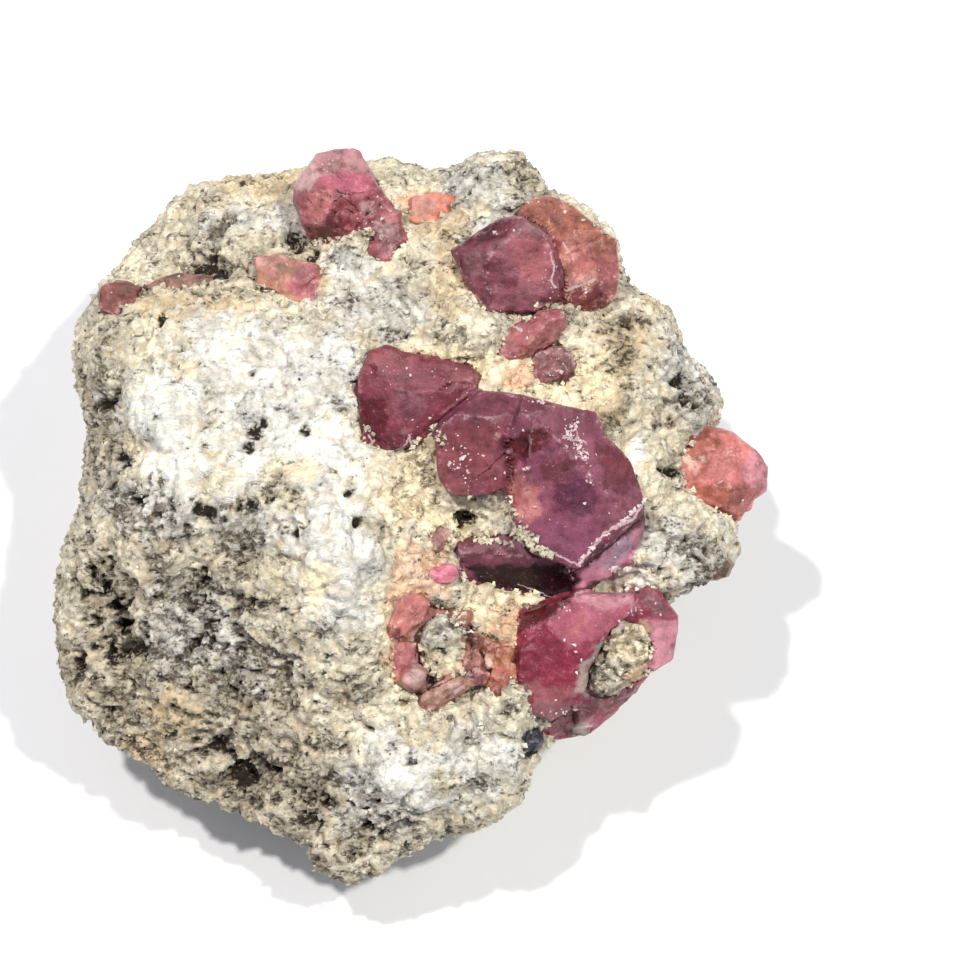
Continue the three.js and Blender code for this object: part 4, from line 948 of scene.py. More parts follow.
# Spots are a place on the display face, a radius, a tone and a strength. Patches are an
# outline on the display face, a tone and a strength. Strokes are a line's two ends, its
# half-width and its kind.
# Patch tones are the facets' own colours together with the inner reflections and shade that each
# facet shows, painted in.
LOOKS = {
    "main_garnet": Look(
        "plum", (0.09, 0.010, 0.030), (0.36, 0.11, 0.17),
        patches=[
            ([(1.6, 7), (2.3, 2.5), (5, 1.6), (6.4, 3.9), (8.3, 8), (4.1, 8.7)], "maroon", 0.9),
            ([(1.6, 7), (1.9, 4.2), (3.1, 2.1), (5.1, 1.6), (4.5, 4.2), (2.8, 7.2)], "rose", 0.5),
            ([(3.9, 8.7), (6.4, 8.1), (10.2, 8.7), (12.3, 9.5), (7.2, 11.2),
              (6.1, 10.7)], "plum", 0.9),
            ([(11, 8), (12.9, 6.9), (16.7, 6.9), (16, 9.3), (11.2, 9.5)], "plum", 0.9),
            ([(5.7, 3.6), (6.6, 1.9), (8.5, 2.3), (9.1, 4.7), (8, 5.7)], "maroon", 0.9),
            ([(7.7, 6.3), (9.3, 4.9), (11.2, 5.7), (11.9, 7.4), (10.8, 8)], "ox_blood", 1),
            ([(8.1, 2.3), (8.2, 0.6), (9.9, -0.6), (11.1, 0.1), (10.8, 2.8),
              (9.1, 4.2)], "coral", 0.7),
            ([(8.7, 1.7), (9.1, 0.2), (10.2, 0.6), (9.9, 2)], "coral", 0.9),
            ([(11, 3.4), (12.3, 2.8), (14.5, 3.9), (13.4, 5.5), (11.2, 5)], "dark_wine", 0.9),
            ([(12.3, 0.9), (14, 0.1), (15.9, 0.4), (15.9, 2.3), (14, 3.4),
              (12.3, 2.8)], "violet", 1),
            ([(15.6, 6.9), (16.4, 3.6), (18, 1.7), (19.8, 3.1), (18.6, 5.4)], "dark_wine", 0.9),
            ([(16.7, 5), (17.2, 3.1), (19.1, 3.6), (18.8, 5)], "wine", 0.7),
            ([(9.7, -1.8), (12.3, -3.2), (14.2, -4.1), (16.4, -1.5), (15.6, -0.2),
              (10.2, -0.7)], "magenta", 0.9),
            ([(16.4, -0.2), (16.7, -1.5), (20.1, 1.1), (20.1, 2.8), (18.8, 2.3)], "plum", 0.9),
            # The orchid and lilac patches of the polished lower side are partly painted light and
            # painted reflection; the black patches are painted shade on facets turned from the
            # lights.
            ([(14, -5.9), (14.5, -6.3), (18, -4.8),
              (20.1, -2.3), (20.2, -0.4), (16.7, -2.9), (14.9, -4.5)], "orchid", 1),
            ([(16.3, -2.1), (16.7, -3), (20.2, -0.2), (20.1, 0.6)], "dark_wine", 1),
            ([(14.4, -4.1), (14.9, -4.5), (16.7, -3), (16.3, -2.1)], "black", 0.7),
            ([(16.4, -4.2), (16.7, -4.9), (18, -3.7), (19.1, -2.3), (18.8, -1.5),
              (17.5, -2.6)], "lilac", 0.9),
            ([(14.5, -5.6), (15, -6.3), (16.7, -5.3), (15.6, -4.8)], "orchid", 0.9),
            ([(3.6, -2.1), (4.3, -4.1), (12.3, -4.1), (7.7, -1.9), (4.5, -1.8)], "plum", 1),
            ([(4.2, -4.2), (5.8, -5.7), (9.1, -6.8),
              (12.3, -7.1), (14.4, -5.9), (14, -4.8), (12.3, -4.1)], "black", 1),
            ([(6.9, -4.6), (7.4, -5.9), (10.2, -5.9), (9.9, -4.8)], "black", 0.9),
        ],
        strokes=[
            (20.1, 1.4, 19.1, -0.2, 0.1, "pale"), (19.1, -0.2, 16.7, -1.3, 0.12, "pale"),
            (16.7, -1.3, 14.3, -4.2, 0.12, "pale"), (14.3, -4.2, 12.3, -3.2, 0.09, "pale"),
            (18.8, 0.2, 19.5, 0.6, 0.08, "pale"), (5.7, 3.5, 8, 5.6, 0.07, "dark"),
            (20.2, 0.2, 16.7, -2.9, 0.1, "dark"), (16.7, -2.9, 14.3, -4.6, 0.12, "dark"),
            (9.1, -5.9, 12.3, -7.2, 0.06, "pale"), (12.9, 6.9, 15, 6.5, 0.08, "pale"),
            (14, 8, 14.5, 6.1, 0.09, "pale"),
        ],
        dents=[(8.8, 5.4, 1.6, 0.9), (9.3, 2.2, 2.0, 0.5)],
        frosted=0.35, see_through=0.25, paleness=0.45, cloudy=0.2, mottled=0.8,
    ),
    "left_garnet": Look(
        "wine", (0.10, 0.010, 0.020), (0.36, 0.13, 0.17),
        patches=[
            ([(-4.2, 13.8), (-4, 12.9), (1.2, 13.1), (1.5, 13.8), (-2.6, 14.8)], "maroon", 0.9),
            ([(1.5, 13.4), (2.8, 11.8), (5.3, 10.7), (5.8, 12), (5, 12.9)], "maroon", 0.9),
            ([(0.8, 6.6), (5.4, 10.4), (5.8, 11.8), (1.3, 8)], "dark_wine", 0.9),
            ([(-4.8, 10.4), (-4.6, 7.7), (-3.4, 6.3), (-2.1, 8), (-2.3, 10.4)], "ox_blood", 0.9),
            ([(-2.1, 10.7), (-1.8, 8.8), (0.4, 8), (1.5, 9.6), (0.4, 11)], "plum", 0.9),
            ([(-3.1, 6.1), (-0.2, 5.5), (0.8, 6.3), (0.4, 7.7), (-2.9, 6.9)], "dark_wine", 0.9),
        ],
        strokes=[
            (5.4, 10.4, 1.5, 7.3, 0.06, "pale"), (-0.2, 6.3, -0.3, 7.2, 0.1, "pale"),
            (-1, 5.7, -0.4, 6.9, 0.09, "pale"), (-4.1, 5.7, -3.4, 6.7, 0.09, "pale"),
            (-3.6, 6.3, -3.9, 7.2, 0.07, "pale"), (-2.1, 5.4, -1, 6, 0.1, "pale"),
        ],
        frosted=0.2, see_through=0.2, paleness=0.45, cloudy=0.2, mottled=0.8,
    ),
    "top_garnet": Look(
        "rose", (0.18, 0.03, 0.04), (0.68, 0.38, 0.40), paleness=0.6,
        patches=[
            ([(-8.8, 32.4), (-8.5, 30.1), (-3.7, 30.2), (-4.7, 32.3), (-6, 32.9)], "haze", 0.5),
            ([(-10.8, 28.8), (-9.5, 28.6), (-8.6, 30), (-8.8, 32.4), (-10.4, 30.1)], "haze", 0.9),
            ([(-10.8, 28), (-10.5, 27.2), (-9.8, 26.7), (-9.5, 28.6),
              (-10.8, 28.8)], "maroon", 0.9),
            ([(-9.1, 28.6), (-5, 27.7), (-2.9, 29), (-3.7, 30.2), (-7.4, 30.6),
              (-8.5, 30.1)], "pink", 0.9),
            ([(-9.5, 26.2), (-8.6, 25.2), (-8.1, 25.6), (-7.2, 27.2), (-7.5, 28.8),
              (-9.3, 28.6)], "coral", 0.7),
            ([(-7.2, 27.2), (-6.5, 26.2), (-5.5, 26.1), (-4.8, 27.2), (-5.2, 28.6),
              (-7.1, 28.8)], "maroon", 0.9),
            ([(-9.1, 24.7), (-8.4, 23.7), (-6.7, 24.9), (-5.7, 25.9), (-7.2, 27.2)], "wine", 1),
            ([(-5, 28.6), (-4.7, 28), (-3.4, 27.2), (-2.7, 27.2), (-2.4, 28.2),
              (-2.9, 29)], "rose", 0.9),
            ([(-5, 27.7), (-4.7, 26.6), (-4.2, 26.4), (-3.4, 26.9), (-3.9, 27.7)], "haze", 1),
            ([(-3.1, 24.2), (-2.7, 22.9), (-1.3, 23.4), (-1, 26.2),
              (-3.1, 26.2)], "dusky_rose", 0.9),
            ([(-3.6, 25.8), (-3.1, 24.7), (-2, 24.9), (-2.3, 26.2)], "haze", 0.9),
            ([(-4.2, 25.6), (-3.7, 25.4), (-3.3, 26.3), (-4.2, 26.2)], "wine", 0.9),
        ],
        strokes=[
            (-6.9, 28.9, -6.4, 28.3, 0.06, "dark"), (-6.8, 28.7, -5.9, 28.4, 0.05, "dark"),
            (-6.4, 28.3, -7.1, 27.8, 0.06, "dark"), (-6.7, 28.2, -6.1, 28.1, 0.05, "dark"),
            (-6.1, 28.1, -5.5, 27.6, 0.05, "dark"), (-5.7, 28.2, -5.5, 27.7, 0.05, "dark"),
            (-5.5, 27.6, -5, 27.1, 0.05, "dark"), (-7.4, 27.1, -6.9, 26.9, 0.06, "dark"),
            (-7.1, 27, -7, 26.6, 0.05, "dark"), (-6.1, 27.2, -5.5, 26.9, 0.06, "dark"),
            (-9.4, 28.2, -9.1, 27.7, 0.07, "dark"), (-4.6, 32.3, -2.7, 28.8, 0.07, "pale"),
        ],
        frosted=0.35,
    ),
    "purple_garnet": Look(
        "mauve", (0.11, 0.022, 0.034), (0.44, 0.20, 0.24),
        patches=[
            ([(4.6, 21.6), (4.7, 20), (5.9, 18.1), (8.8, 18.7), (9.1, 20.7),
              (7.5, 22.6)], "plum", 0.9),
            ([(3.6, 23.6), (5.9, 23.8), (8, 24.1), (8.8, 26), (7, 26),
              (4.2, 24.6)], "dark_wine", 1),
            ([(8.8, 24.9), (10.4, 24.4), (11.9, 24.4), (10.8, 25.7), (8.8, 26)], "dusky_rose", 0.9),
            ([(8.5, 24.4), (8.8, 22.8), (9.4, 20.7), (11.7, 20.7), (12.2, 23),
              (11.7, 24.7)], "rose", 1),
            ([(4.2, 22.8), (4.9, 21.6), (5.5, 21), (6.5, 22), (5.9, 23.1)], "dusky_rose", 0.9),
            ([(6.2, 22.3), (6.4, 21.5), (7.5, 21.3), (7.3, 22.6)], "dark_wine", 0.9),
            ([(7.7, 19.9), (9, 19.9), (9.1, 21), (7.8, 21)], "dark_wine", 0.9),
            ([(12.1, 22), (12.5, 20.2), (13.4, 20.7), (13.4, 22.6), (12.4, 23.3)], "plum", 0.9),
            ([(10.8, 19), (11.7, 18.1), (13, 18.6), (13.2, 20.7), (12.4, 20.3)], "dark_wine", 0.9),
            ([(3.6, 23.6), (3.9, 22.1), (4.6, 21), (4.5, 22.8)], "dark_wine", 0.9),
            ([(4.9, 19.5), (5.1, 17.7), (5.9, 17.7), (6.1, 18.2)], "cream", 0.9),
        ],
        strokes=[
            (12, 23.3, 12.2, 21.6, 0.08, "pale"), (12.2, 21.6, 12, 20.7, 0.1, "pale"),
            (12, 20.7, 12.4, 20, 0.11, "pale"),
        ],
        streak=(0.6, 1, 1), frosted=0.35,
    ),
    "orange_garnet": Look(
        "brick", (0.20, 0.035, 0.025), (0.80, 0.48, 0.34), paleness=0.8,
        patches=[
            ([(9.1, 26.5), (12.4, 24.4), (14, 24.7), (14.8, 25.9), (13, 27.7),
              (10.6, 27.8)], "brick", 0.9),
            ([(11.9, 26.5), (12.1, 25.9), (12.7, 25.9), (12.7, 26.7)], "wine", 0.7),
            ([(11.7, 24.4), (12.2, 23.1), (12.9, 23.3), (13, 24.4)], "wine", 0.9),
            ([(13, 24.3), (13.2, 23), (13.7, 20.7), (16.1, 22), (15.6, 24.1)], "coral", 0.7),
            ([(14, 24.7), (15.6, 24.1), (17.8, 23.8), (17.6, 24.9), (14.8, 25.9)], "brick", 0.9),
            ([(16, 20), (17.6, 19), (18, 20.7), (17.6, 23.3), (16.1, 23)], "rose", 0.9),
            ([(13.2, 19.7), (13.7, 18.1), (15.6, 18.1), (17.6, 19), (16.1, 20.7)], "wine", 0.9),
            ([(13, 18.6), (13.8, 17.9), (14, 19.4), (13, 19.7)], "ox_blood", 0.9),
            ([(13.4, 20.7), (13.5, 19.9), (16, 20.8), (16.2, 21.5), (15.8, 21.8)], "peach", 1),
        ],
        strokes=[
            (13.4, 19.9, 16, 20.9, 0.09, "pale"), (13, 24.1, 14, 22.6, 0.06, "pale"),
        ],
        frosted=0.35,
    ),
    "raspberry_garnet": Look(
        "raspberry", (0.14, 0.010, 0.020), (0.66, 0.26, 0.33),
        patches=[
            ([(9.1, -10.7), (9.3, -15.1), (12.1, -15.4),
              (14.2, -14.8), (14.5, -12.5), (14, -11.3), (11.3, -9.2)], "crimson", 0.9),
            ([(11.3, -9.2), (13.7, -11.3), (16.8, -10.2), (19.2, -8.2), (18.4, -6.6),
              (14.5, -6.6)], "pink", 0.9),
            # Painted shadow on the facet under the rim at the upper left.
            ([(9.1, -10.2), (11.3, -9.2), (13.7, -7.6), (13.7, -7.1), (10.3, -7.6),
              (9.2, -8.6)], "ox_blood", 1),
            ([(14.2, -6.7), (15, -7.8), (16.8, -8.4), (19.4, -7.8), (19.2, -6.7),
              (15.8, -6.3)], "pale_pink", 0.9),
            ([(9.3, -14.4), (9.5, -15.7), (11.3, -16.7), (13.5, -16.1),
              (14.2, -15.1)], "rose", 0.9),
            ([(9.6, -16.1), (10.6, -18.8), (12.9, -19.5), (15.2, -19.3), (15.7, -18.3),
              (15.8, -16.4)], "dusky_rose", 0.9),
            ([(14, -19.5), (15.3, -19.3), (15.7, -18.5), (14, -18.3)], "crust", 0.9),
            ([(20.4, -12.1), (21, -13.5), (22.7, -12.8), (23.2, -9.1),
              (20.9, -9.1)], "pale_pink", 0.9),
            ([(19.4, -6.3), (19.7, -7.8), (21, -8.6), (23.2, -8.7),
              (20.4, -6.1)], "dusky_rose", 0.9),
            ([(19.7, -10.4), (20.9, -10.4), (20.5, -9.1), (19.7, -9.1)], "tan", 0.9),
            ([(15.7, -15.2), (15.8, -17.4), (17.1, -17.7), (20.1, -15.6),
              (20.1, -14.9)], "dusky_rose", 0.9),
            ([(14.5, -13), (15.3, -13.1), (17, -11), (16.6, -10.7)], "crust", 1),
            ([(14, -15.7), (15.3, -15.7), (15.3, -13.1), (14.5, -13)], "crust", 0.8),
            ([(13.6, -9.7), (14, -10.5), (15.2, -9.4), (14.5, -9.1)], "coral", 0.7),
            # Painted shade in the gap beside the filling.
            ([(15.3, -13.5), (15.7, -14.9), (17.9, -14.6), (17.8, -13)], "brown_black", 0.9),
        ],
        strokes=[
            (17.1, -11, 16.5, -12.3, 0.1, "dark"), (16.5, -12.3, 15.3, -13.3, 0.1, "dark"),
            (15.3, -13.3, 15.4, -15.1, 0.1, "dark"), (13.8, -16.5, 14.1, -18.2, 0.11, "dark"),
            (14, -18.7, 15.7, -18.3, 0.12, "pale"), (10, -16.5, 10.6, -18.2, 0.07, "pale"),
            (14, -6.8, 15.8, -6.3, 0.06, "pale"),
        ],
        rough=0.25, frosted=0.12, see_through=0.25, paleness=0.35, cloudy=0.08, mottled=0.6,
    ),
    "right_garnet": Look(
        "coral_pink", (0.32, 0.06, 0.05), (0.74, 0.38, 0.34),
        spots=[
            ((25.2, 6.6), 2.2, "brick", 0.8),
            ((30.6, 3.8), 2.4, "pale_pink", 0.8),
            ((27.4, 1.8), 2.0, "brick", 0.7),
            ((24.6, 4.8), 1.2, "cream", 0.8),
        ],
        rough=0.38, frosted=0.35, cloudy=0.2, paleness=0.65,
    ),
    "salmon_garnet": Look(
        "coral", (0.46, 0.13, 0.08), (0.82, 0.44, 0.35),
        spots=[((0.2, 28.0), 2.0, "peach", 0.8)], rough=0.38, frosted=0.15, cloudy=0.15,
    ),
    "pink_shard": Look(
        "shard_pink", (0.24, 0.05, 0.05), (0.68, 0.38, 0.37),
        patches=[
            ([(10.8, 16.8), (12.4, 16.1), (13.5, 17.1), (13.2, 18.4), (11.4, 18.1)], "rose", 0.9),
            ([(8.3, 15.8), (9.1, 15.1), (11.7, 16), (10.8, 17.4), (8.8, 16.8)], "rose", 0.9),
            ([(7.3, 13.8), (9.6, 14.2), (9.1, 16), (7.3, 15.5)], "rose", 0.9),
            ([(8.3, 15.6), (9.4, 16.3), (8.5, 16.8)], "brick", 0.9),
        ],
        strokes=[
            (8.5, 16.8, 9.6, 16.2, 0.09, "pale"),
        ],
    ),
    "plum_druse": Look(
        "druse_plum", (0.12, 0.035, 0.05), (0.50, 0.34, 0.35),
        frosted=0.5, rough=0.3, face=0.16,
    ),
    "ring_garnet": Look(
        "dull_salmon", (0.20, 0.05, 0.04), (0.80, 0.52, 0.42), paleness=0.8,
        patches=[
            ([(-2.2, -8.2), (-1.7, -9.8), (-0.5, -10.2), (1.4, -8.2), (2.1, -6),
              (-0.8, -7.1)], "coral", 0.9),
            ([(-1.8, -9.6), (-1.7, -10.9), (-0.8, -10.5), (-1.1, -9.7)], "wine", 0.9),
            ([(-0.7, -10), (-0.3, -10.1), (0.8, -9.2), (0.4, -8.9)], "peach", 0.9),
            ([(-0.5, -10.5), (-0.1, -11.5), (0.7, -11.3), (0.8, -9.8)], "cream", 0.9),
            ([(-2, -11.6), (-1.7, -13.4), (-0.8, -13.9), (0.8, -12.3), (-0.5, -11.2)], "rose", 0.9),
            ([(-0.7, -14.2), (0, -15), (1.4, -14.6), (1.2, -13.4), (0.2, -12.7),
              (-0.7, -13.4)], "haze", 1),
            ([(0.7, -16.1), (1.5, -16.6), (5.4, -14.6), (6.1, -13.4), (4.9, -13.1),
              (0.8, -15.1)], "tan", 0.9),
            ([(4.9, -13.4), (5.4, -15), (6.3, -14.4), (6.1, -13)], "plum", 0.9),
            # Painted shade in the deep gaps of the broken ring.
            ([(4.5, -9.7), (4.9, -12.1), (5.6, -11.9), (5.4, -9.4)], "brown_black", 1),
            ([(-0.8, -15), (-0.3, -15.7), (0.7, -16.2), (0.7, -15.3)], "brown_black", 0.9),
        ],
        strokes=[
            (3.5, -15.3, 4.4, -14.8, 0.12, "pale"), (0.8, -15.3, 4.9, -13.4, 0.06, "dark"),
        ],
        frosted=0.4, face=0.18,
    ),
    "pink_bud": Look(
        "bright_pink", (0.40, 0.10, 0.14), (0.82, 0.46, 0.50), face=0.14, paleness=0.8, cloudy=0.6,
    ),
    "rose_bud": Look("rose_grey", (0.32, 0.16, 0.15), (0.68, 0.48, 0.42), face=0.14, rough=0.5),
    "orange_grains": Look(
        "amber", (0.20, 0.055, 0.02), (0.74, 0.50, 0.33), face=0.16, rough=0.28, frosted=0.4,
        paleness=0.9, cloudy=0.6,
        patches=[
            ([(5.2, -10.6), (7.4, -10.6), (8.4, -12.0), (6.4, -12.4)], "brick", 0.8),
            ([(5.6, -11.6), (7.0, -12.0), (7.0, -13.2), (5.8, -13.2)], "cream", 0.7),
            ([(7.0, -13.2), (8.6, -13.0), (8.4, -14.6), (6.8, -14.8)], "coral", 0.7),
            ([(6.6, -14.8), (8.2, -14.6), (7.6, -16.2), (6.8, -16.2)], "maroon", 0.7),
        ],
    ),
    "wedge_garnet": Look(
        "apricot", (0.34, 0.12, 0.09), (0.72, 0.48, 0.38), face=0.18,
        spots=[
            ((-13.4, 22.6), 1.8, "peach", 0.85),
            ((-9.6, 20.6), 2.4, "pink", 0.8),
        ],
        rough=0.45,
    ),
    "edge_garnet": Look(
        "dusty_mauve", (0.13, 0.035, 0.03), (0.42, 0.22, 0.20), face=0.18, rough=0.45,
    ),
    "brown_garnet": Look(
        "brown_mauve", (0.15, 0.08, 0.06), (0.44, 0.31, 0.25), face=0.18, rough=0.5,
    ),
    "dark_grain": Look(
        "blue_black", (0.010, 0.010, 0.014), (0.20, 0.22, 0.27), face=0.14, rough=0.25,
    ),
    "brown_bud": Look("brown", (0.10, 0.055, 0.03), (0.40, 0.29, 0.19), face=0.14),
}
LARGE = (
    "main_garnet", "left_garnet", "top_garnet", "purple_garnet", "orange_garnet",
    "raspberry_garnet", "right_garnet",
)


def sharp_edges(name):
    """Points along a CAD node's sharp edges, as a search tree in millimetres."""
    shape = bmesh.new()
    shape.from_mesh(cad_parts[name].data)
    bmesh.ops.remove_doubles(shape, verts=shape.verts, dist=1e-6)
    points = []
    for edge in shape.edges:
        if len(edge.link_faces) != 2 or edge.calc_face_angle() < EDGE_ANGLE:
            continue
        start, end = (vert.co / MM for vert in edge.verts)
        count = max(2, int((end - start).length / EDGE_SPACING))
        points += [start.lerp(end, i / count) for i in range(count + 1)]
    shape.free()
    tree = kdtree.KDTree(len(points))
    for i, point in enumerate(points):
        tree.insert(point, i)
    tree.balance()
    return tree


def build_garnet(name, look, settings):
    piece = remeshed(f"{name}_crystal", name, look.face * MM)
    mesh = piece.data
    places = places_of(mesh)
    own = tree_of([name])
    snapped, facing = [], []
    for point in places.tolist():
        place, normal, _, _ = own.find_nearest(point)
        snapped.append(place)
        facing.append(normal)
    snapped, facing = np.array(snapped), np.array(facing)
    edges = sharp_edges(name)
    gap = np.array([edges.find(point)[2] for point in snapped.tolist()])
    noise = Noise(sum(name.encode()))
    swell = settings.swell / MM
    rise = swell * noise.swell(snapped, 3.0) + 0.35 * swell * noise.swell(snapped, 1.0)
    steps = np.abs(noise.swell(snapped + 33.0, 1.7)) * (1 - step(0.3, 1.4, gap))
    chips = np.clip(noise.swell(snapped, 1.2) - 0.05, 0, 1) * (1 - step(0.1, 0.7, gap))
    rise -= settings.chip / MM * (0.2 * (1 - step(0.0, 0.25, gap)) + 2.4 * chips + 0.5 * steps)
    face = to_face(snapped)
    front = step(0.0, 0.4, facing @ FACE_AXES[2])
    for x, y, radius, deep in look.dents:
        reach = np.hypot(face[:, 0] - x, face[:, 1] - y) / radius
        jag = 1 + 0.35 * noise.swell(snapped, 0.9)
        rise -= deep * np.exp(-reach ** 4) * front * jag
    others = tree_of([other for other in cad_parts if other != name])
    near = distance_to(others, snapped, 0.8)
    rise += settings.seat / MM * (1 - step(0.32, 0.7, near))
    moved = snapped + facing * rise[:, None]
    moved[:, 2] = np.maximum(moved[:, 2], 0.02)
    put(mesh, moved)
    ragged = gap + 0.25 * noise.swell(snapped, 0.7) - 0.4 * np.clip(noise.swell(snapped, 2.2), 0, 1)
    store(mesh, "edge", 1 - step(-0.1, 0.3, ragged))
    store(mesh, "facet", facet_tones(mesh, own, name), "FACE")
    mesh.shade_smooth()
    mesh.set_sharp_from_angle(angle=CREASE_ANGLE)
    finish(piece, garnet_finish(name, look, settings, own), look.slot, name)


def facet_tones(mesh, own, name):
    """One tone for all the small faces that lie on the same facet."""
    normals = np.array([own.find_nearest(point)[1] for point in middles_of(mesh).tolist()])
    _, facet = np.unique(np.round(normals * 7).astype(int), axis=0, return_inverse=True)
    tones = np.random.default_rng(sum(name.encode())).random(int(facet.max()) + 1)
    return tones[facet.ravel()]


def on_front(tree, x, y):
    """The place on a surface that lies at x, y on the display face."""
    start = from_face(x, y, DROP_HEIGHT)
    found = tree.ray_cast(Vector(start), Vector(-FACE_AXES[2]))[0]
    if found is None:
        found = tree.find_nearest(Vector(from_face(x, y, 12)))[0]
    return np.array(found)


def garnet_finish(name, look, settings, own):
    """Translucent garnet: facets and flaws of different tone, partly painted shade and reflection,
    scratches, dust and painted glints.
    """
    paint = Paint(
        f"{name} garnet", Transmission_Weight=look.see_through, IOR=GARNET_IOR,
        Specular_IOR_Level=0.14, Subsurface_Weight=0.12, Subsurface_Scale=0.0008,
        Subsurface_Radius=(1.0, 0.3, 0.35),
    )
    body = tuple(getattr(bpy.context.scene.specimen_colours, name))
    tones = bpy.context.scene.specimen_tones
    broad = paint.noise(2.6, 3)
    middle = paint.noise(0.9, 4, paint.squeezed(*look.streak), 0.65)
    fine = paint.noise(0.24, 4, rough=0.75)
    place = paint.warped(2.6, 2.4)
    base = body
    for (x, y), radius, tone, strength in look.spots:
        reach = paint.near(on_front(own, x, y), radius, place)
        cover = paint.stretch(reach, 0.05, 0.7) * strength
        base = paint.mix(cover, base, tuple(getattr(tones, tone)))
    face = paint.on_face(paint.warped(1.2, 1.1))
    for corners, tone, strength in look.patches:
        cover = paint.patch(corners, face, 0.3) * strength
        base = paint.mix(cover, base, tuple(getattr(tones, tone)))
    bright = 0.7 * (fine - 0.5) + 1.9 * (middle - 0.5) + 1.5 * (broad - 0.5)
    # Each facet is a little lighter or darker at random, painted for the different reflections of
    # the facets.
    bright = bright + 0.22 * (paint.attribute("facet") - 0.5)
    base = paint.mix(1.0, base, paint.grey(1.0 + bright * look.mottled), "MULTIPLY")
    dark = paint.stretch(0.5 * fine + 0.5 * middle, 0.47, 0.36)
    base = paint.mix(dark * look.cloudy, base, (*look.deep, 1))
    pale = paint.stretch(0.45 * fine + 0.55 * middle, 0.53, 0.66)
    base = paint.mix(pale * look.paleness, base, (*look.light, 1))
    line = paint.math("ABSOLUTE", paint.noise(1.5, 3, paint.squeezed(1, 0.5, 0.8)) - 0.5)
    scratch = paint.stretch(line, 0.012, 0.004) * paint.stretch(middle, 0.5, 0.62)
    base = paint.mix(scratch * 0.55, base, (*look.light, 1))
    crisp = paint.on_face(paint.warped(0.5, 0.35))
    # Pale strokes are partly chipped frost and partly painted highlight along lit edges; dark
    # strokes are partly cracks and partly painted shade under edges and in gaps.
    for x, y, end_x, end_y, half_width, kind in look.strokes:
        cover = paint.stroke((x, y), (end_x, end_y), half_width, crisp)
        tint = settings.frost if kind == "pale" else settings.flaw
        base = paint.mix(cover * 0.9, base, tuple(tint))
    edge = paint.attribute("edge") * paint.stretch(middle, 0.42, 0.6)
    dust = paint.stretch(edge * 0.32 + fine, 0.63, 0.80) * look.frosted * 1.3
    base = paint.mix(dust, base, tuple(settings.frost))
    # Painted highlights: tiny glints of reflected light, in patches.
    glints = paint.stretch(paint.cells(0.8), 0.10, 0.03) * paint.stretch(broad, 0.45, 0.6)
    base = paint.mix(glints * 0.8, base, tuple(settings.glint))
    rough = look.rough + 0.6 * (middle - 0.4) + 0.3 * dust
    height = 0.3 * fine + 0.7 * middle
    paint.surface(Base_Color=base, Roughness=rough, Normal=paint.bump(height, 0.18))
    return paint.material


# Pale flakes that cling to the crystals: middle, half-widths, turn and number of flakes.
FLAKES = [
    (13.6, 7.4, 0.9, 0.5, 60, 46), (14.2, 5.9, 0.4, 1.1, 30, 40), (15.0, 5.2, 0.3, 1.3, 20, 26),
    (9.7, 4.2, 0.3, 0.3, 0, 7), (15.2, 3.3, 0.4, 0.4, 0, 10), (19.4, 0.8, 1.9, 0.12, 42, 60),
    (17.2, -1.1, 1.6, 0.12, 36, 54), (14.9, -3.4, 1.4, 0.14, 48, 46), (4.8, 3.0, 0.9, 0.8, 0, 16),
    (3.4, 4.6, 0.5, 1.0, 10, 9), (4.0, 5.2, 1.3, 1.5, 0, 26),
    (17.2, -4.6, 1.1, 0.5, 40, 12), (2.6, 11.6, 1.0, 0.4, -30, 8), (-1.4, 12.6, 1.2, 0.4, 10, 7),
    (12.4, 12.6, 0.9, 0.9, 0, 14), (16.6, -11.6, 0.4, 1.5, -20, 20),
    (16.0, -13.6, 0.4, 1.0, 10, 12), (19.6, -8.2, 1.0, 0.4, 10, 10),
    (-7.6, 31.4, 1.2, 0.6, 10, 8), (-4.6, 26.6, 0.6, 0.6, 0, 9), (11.6, 21.0, 0.8, 0.8, 0, 8),
    (15.0, 20.4, 1.2, 0.5, 0, 9), (28.4, 5.6, 1.2, 0.8, 0, 9), (13.0, -17.0, 1.6, 0.3, 10, 12),
    (10.8, 10.0, 1.6, 0.2, -14, 9), (8.2, 24.8, 1.6, 0.3, 10, 9),
]


# Rock crust that laps over the crystals: middle, half-widths, turn and number of crumbs.
CRUSTS = [
    (16.6, 26.6, 1.7, 0.8, -48, 150), (13.6, 28.4, 1.3, 0.4, -20, 50),
    (-4.6, 7.0, 0.5, 0.6, 0, 12), (-3.8, 7.6, 0.3, 0.5, 30, 7), (0.1, 6.5, 0.35, 0.7, -20, 12),
    (-8.2, 24.2, 2.0, 0.5, 4, 90), (-5.2, 24.6, 1.2, 0.6, 20, 60), (5.3, 18.2, 0.7, 0.8, 30, 40),
    (8.4, 17.4, 1.8, 0.35, 4, 44), (13.4, 18.2, 1.4, 0.4, -10, 40), (3.6, -7.4, 0.9, 0.3, -10, 16),
    (8.8, -15.6, 0.3, 1.0, 20, 18), (3.4, -6.6, 0.7, 0.5, 0, 16), (4.0, -8.6, 0.5, 0.8, 0, 16),
    (23.9, 3.0, 0.3, 1.2, 10, 14), (-13.8, 20.4, 1.0, 0.25, -10, 12),
    (1.4, 25.8, 1.2, 0.25, 10, 12), (8.2, 0.6, 0.5, 1.2, 14, 46), (9.6, -1.6, 0.9, 0.6, -50, 60),
    (11.2, -2.9, 1.0, 0.3, -30, 30), (6.4, -2.0, 1.9, 0.25, -6, 44), (2.2, 2.2, 0.4, 0.9, 20, 12),
    (5.0, 1.4, 1.4, 0.25, -4, 16), (2.4, 6.9, 0.4, 0.5, 30, 10),
]


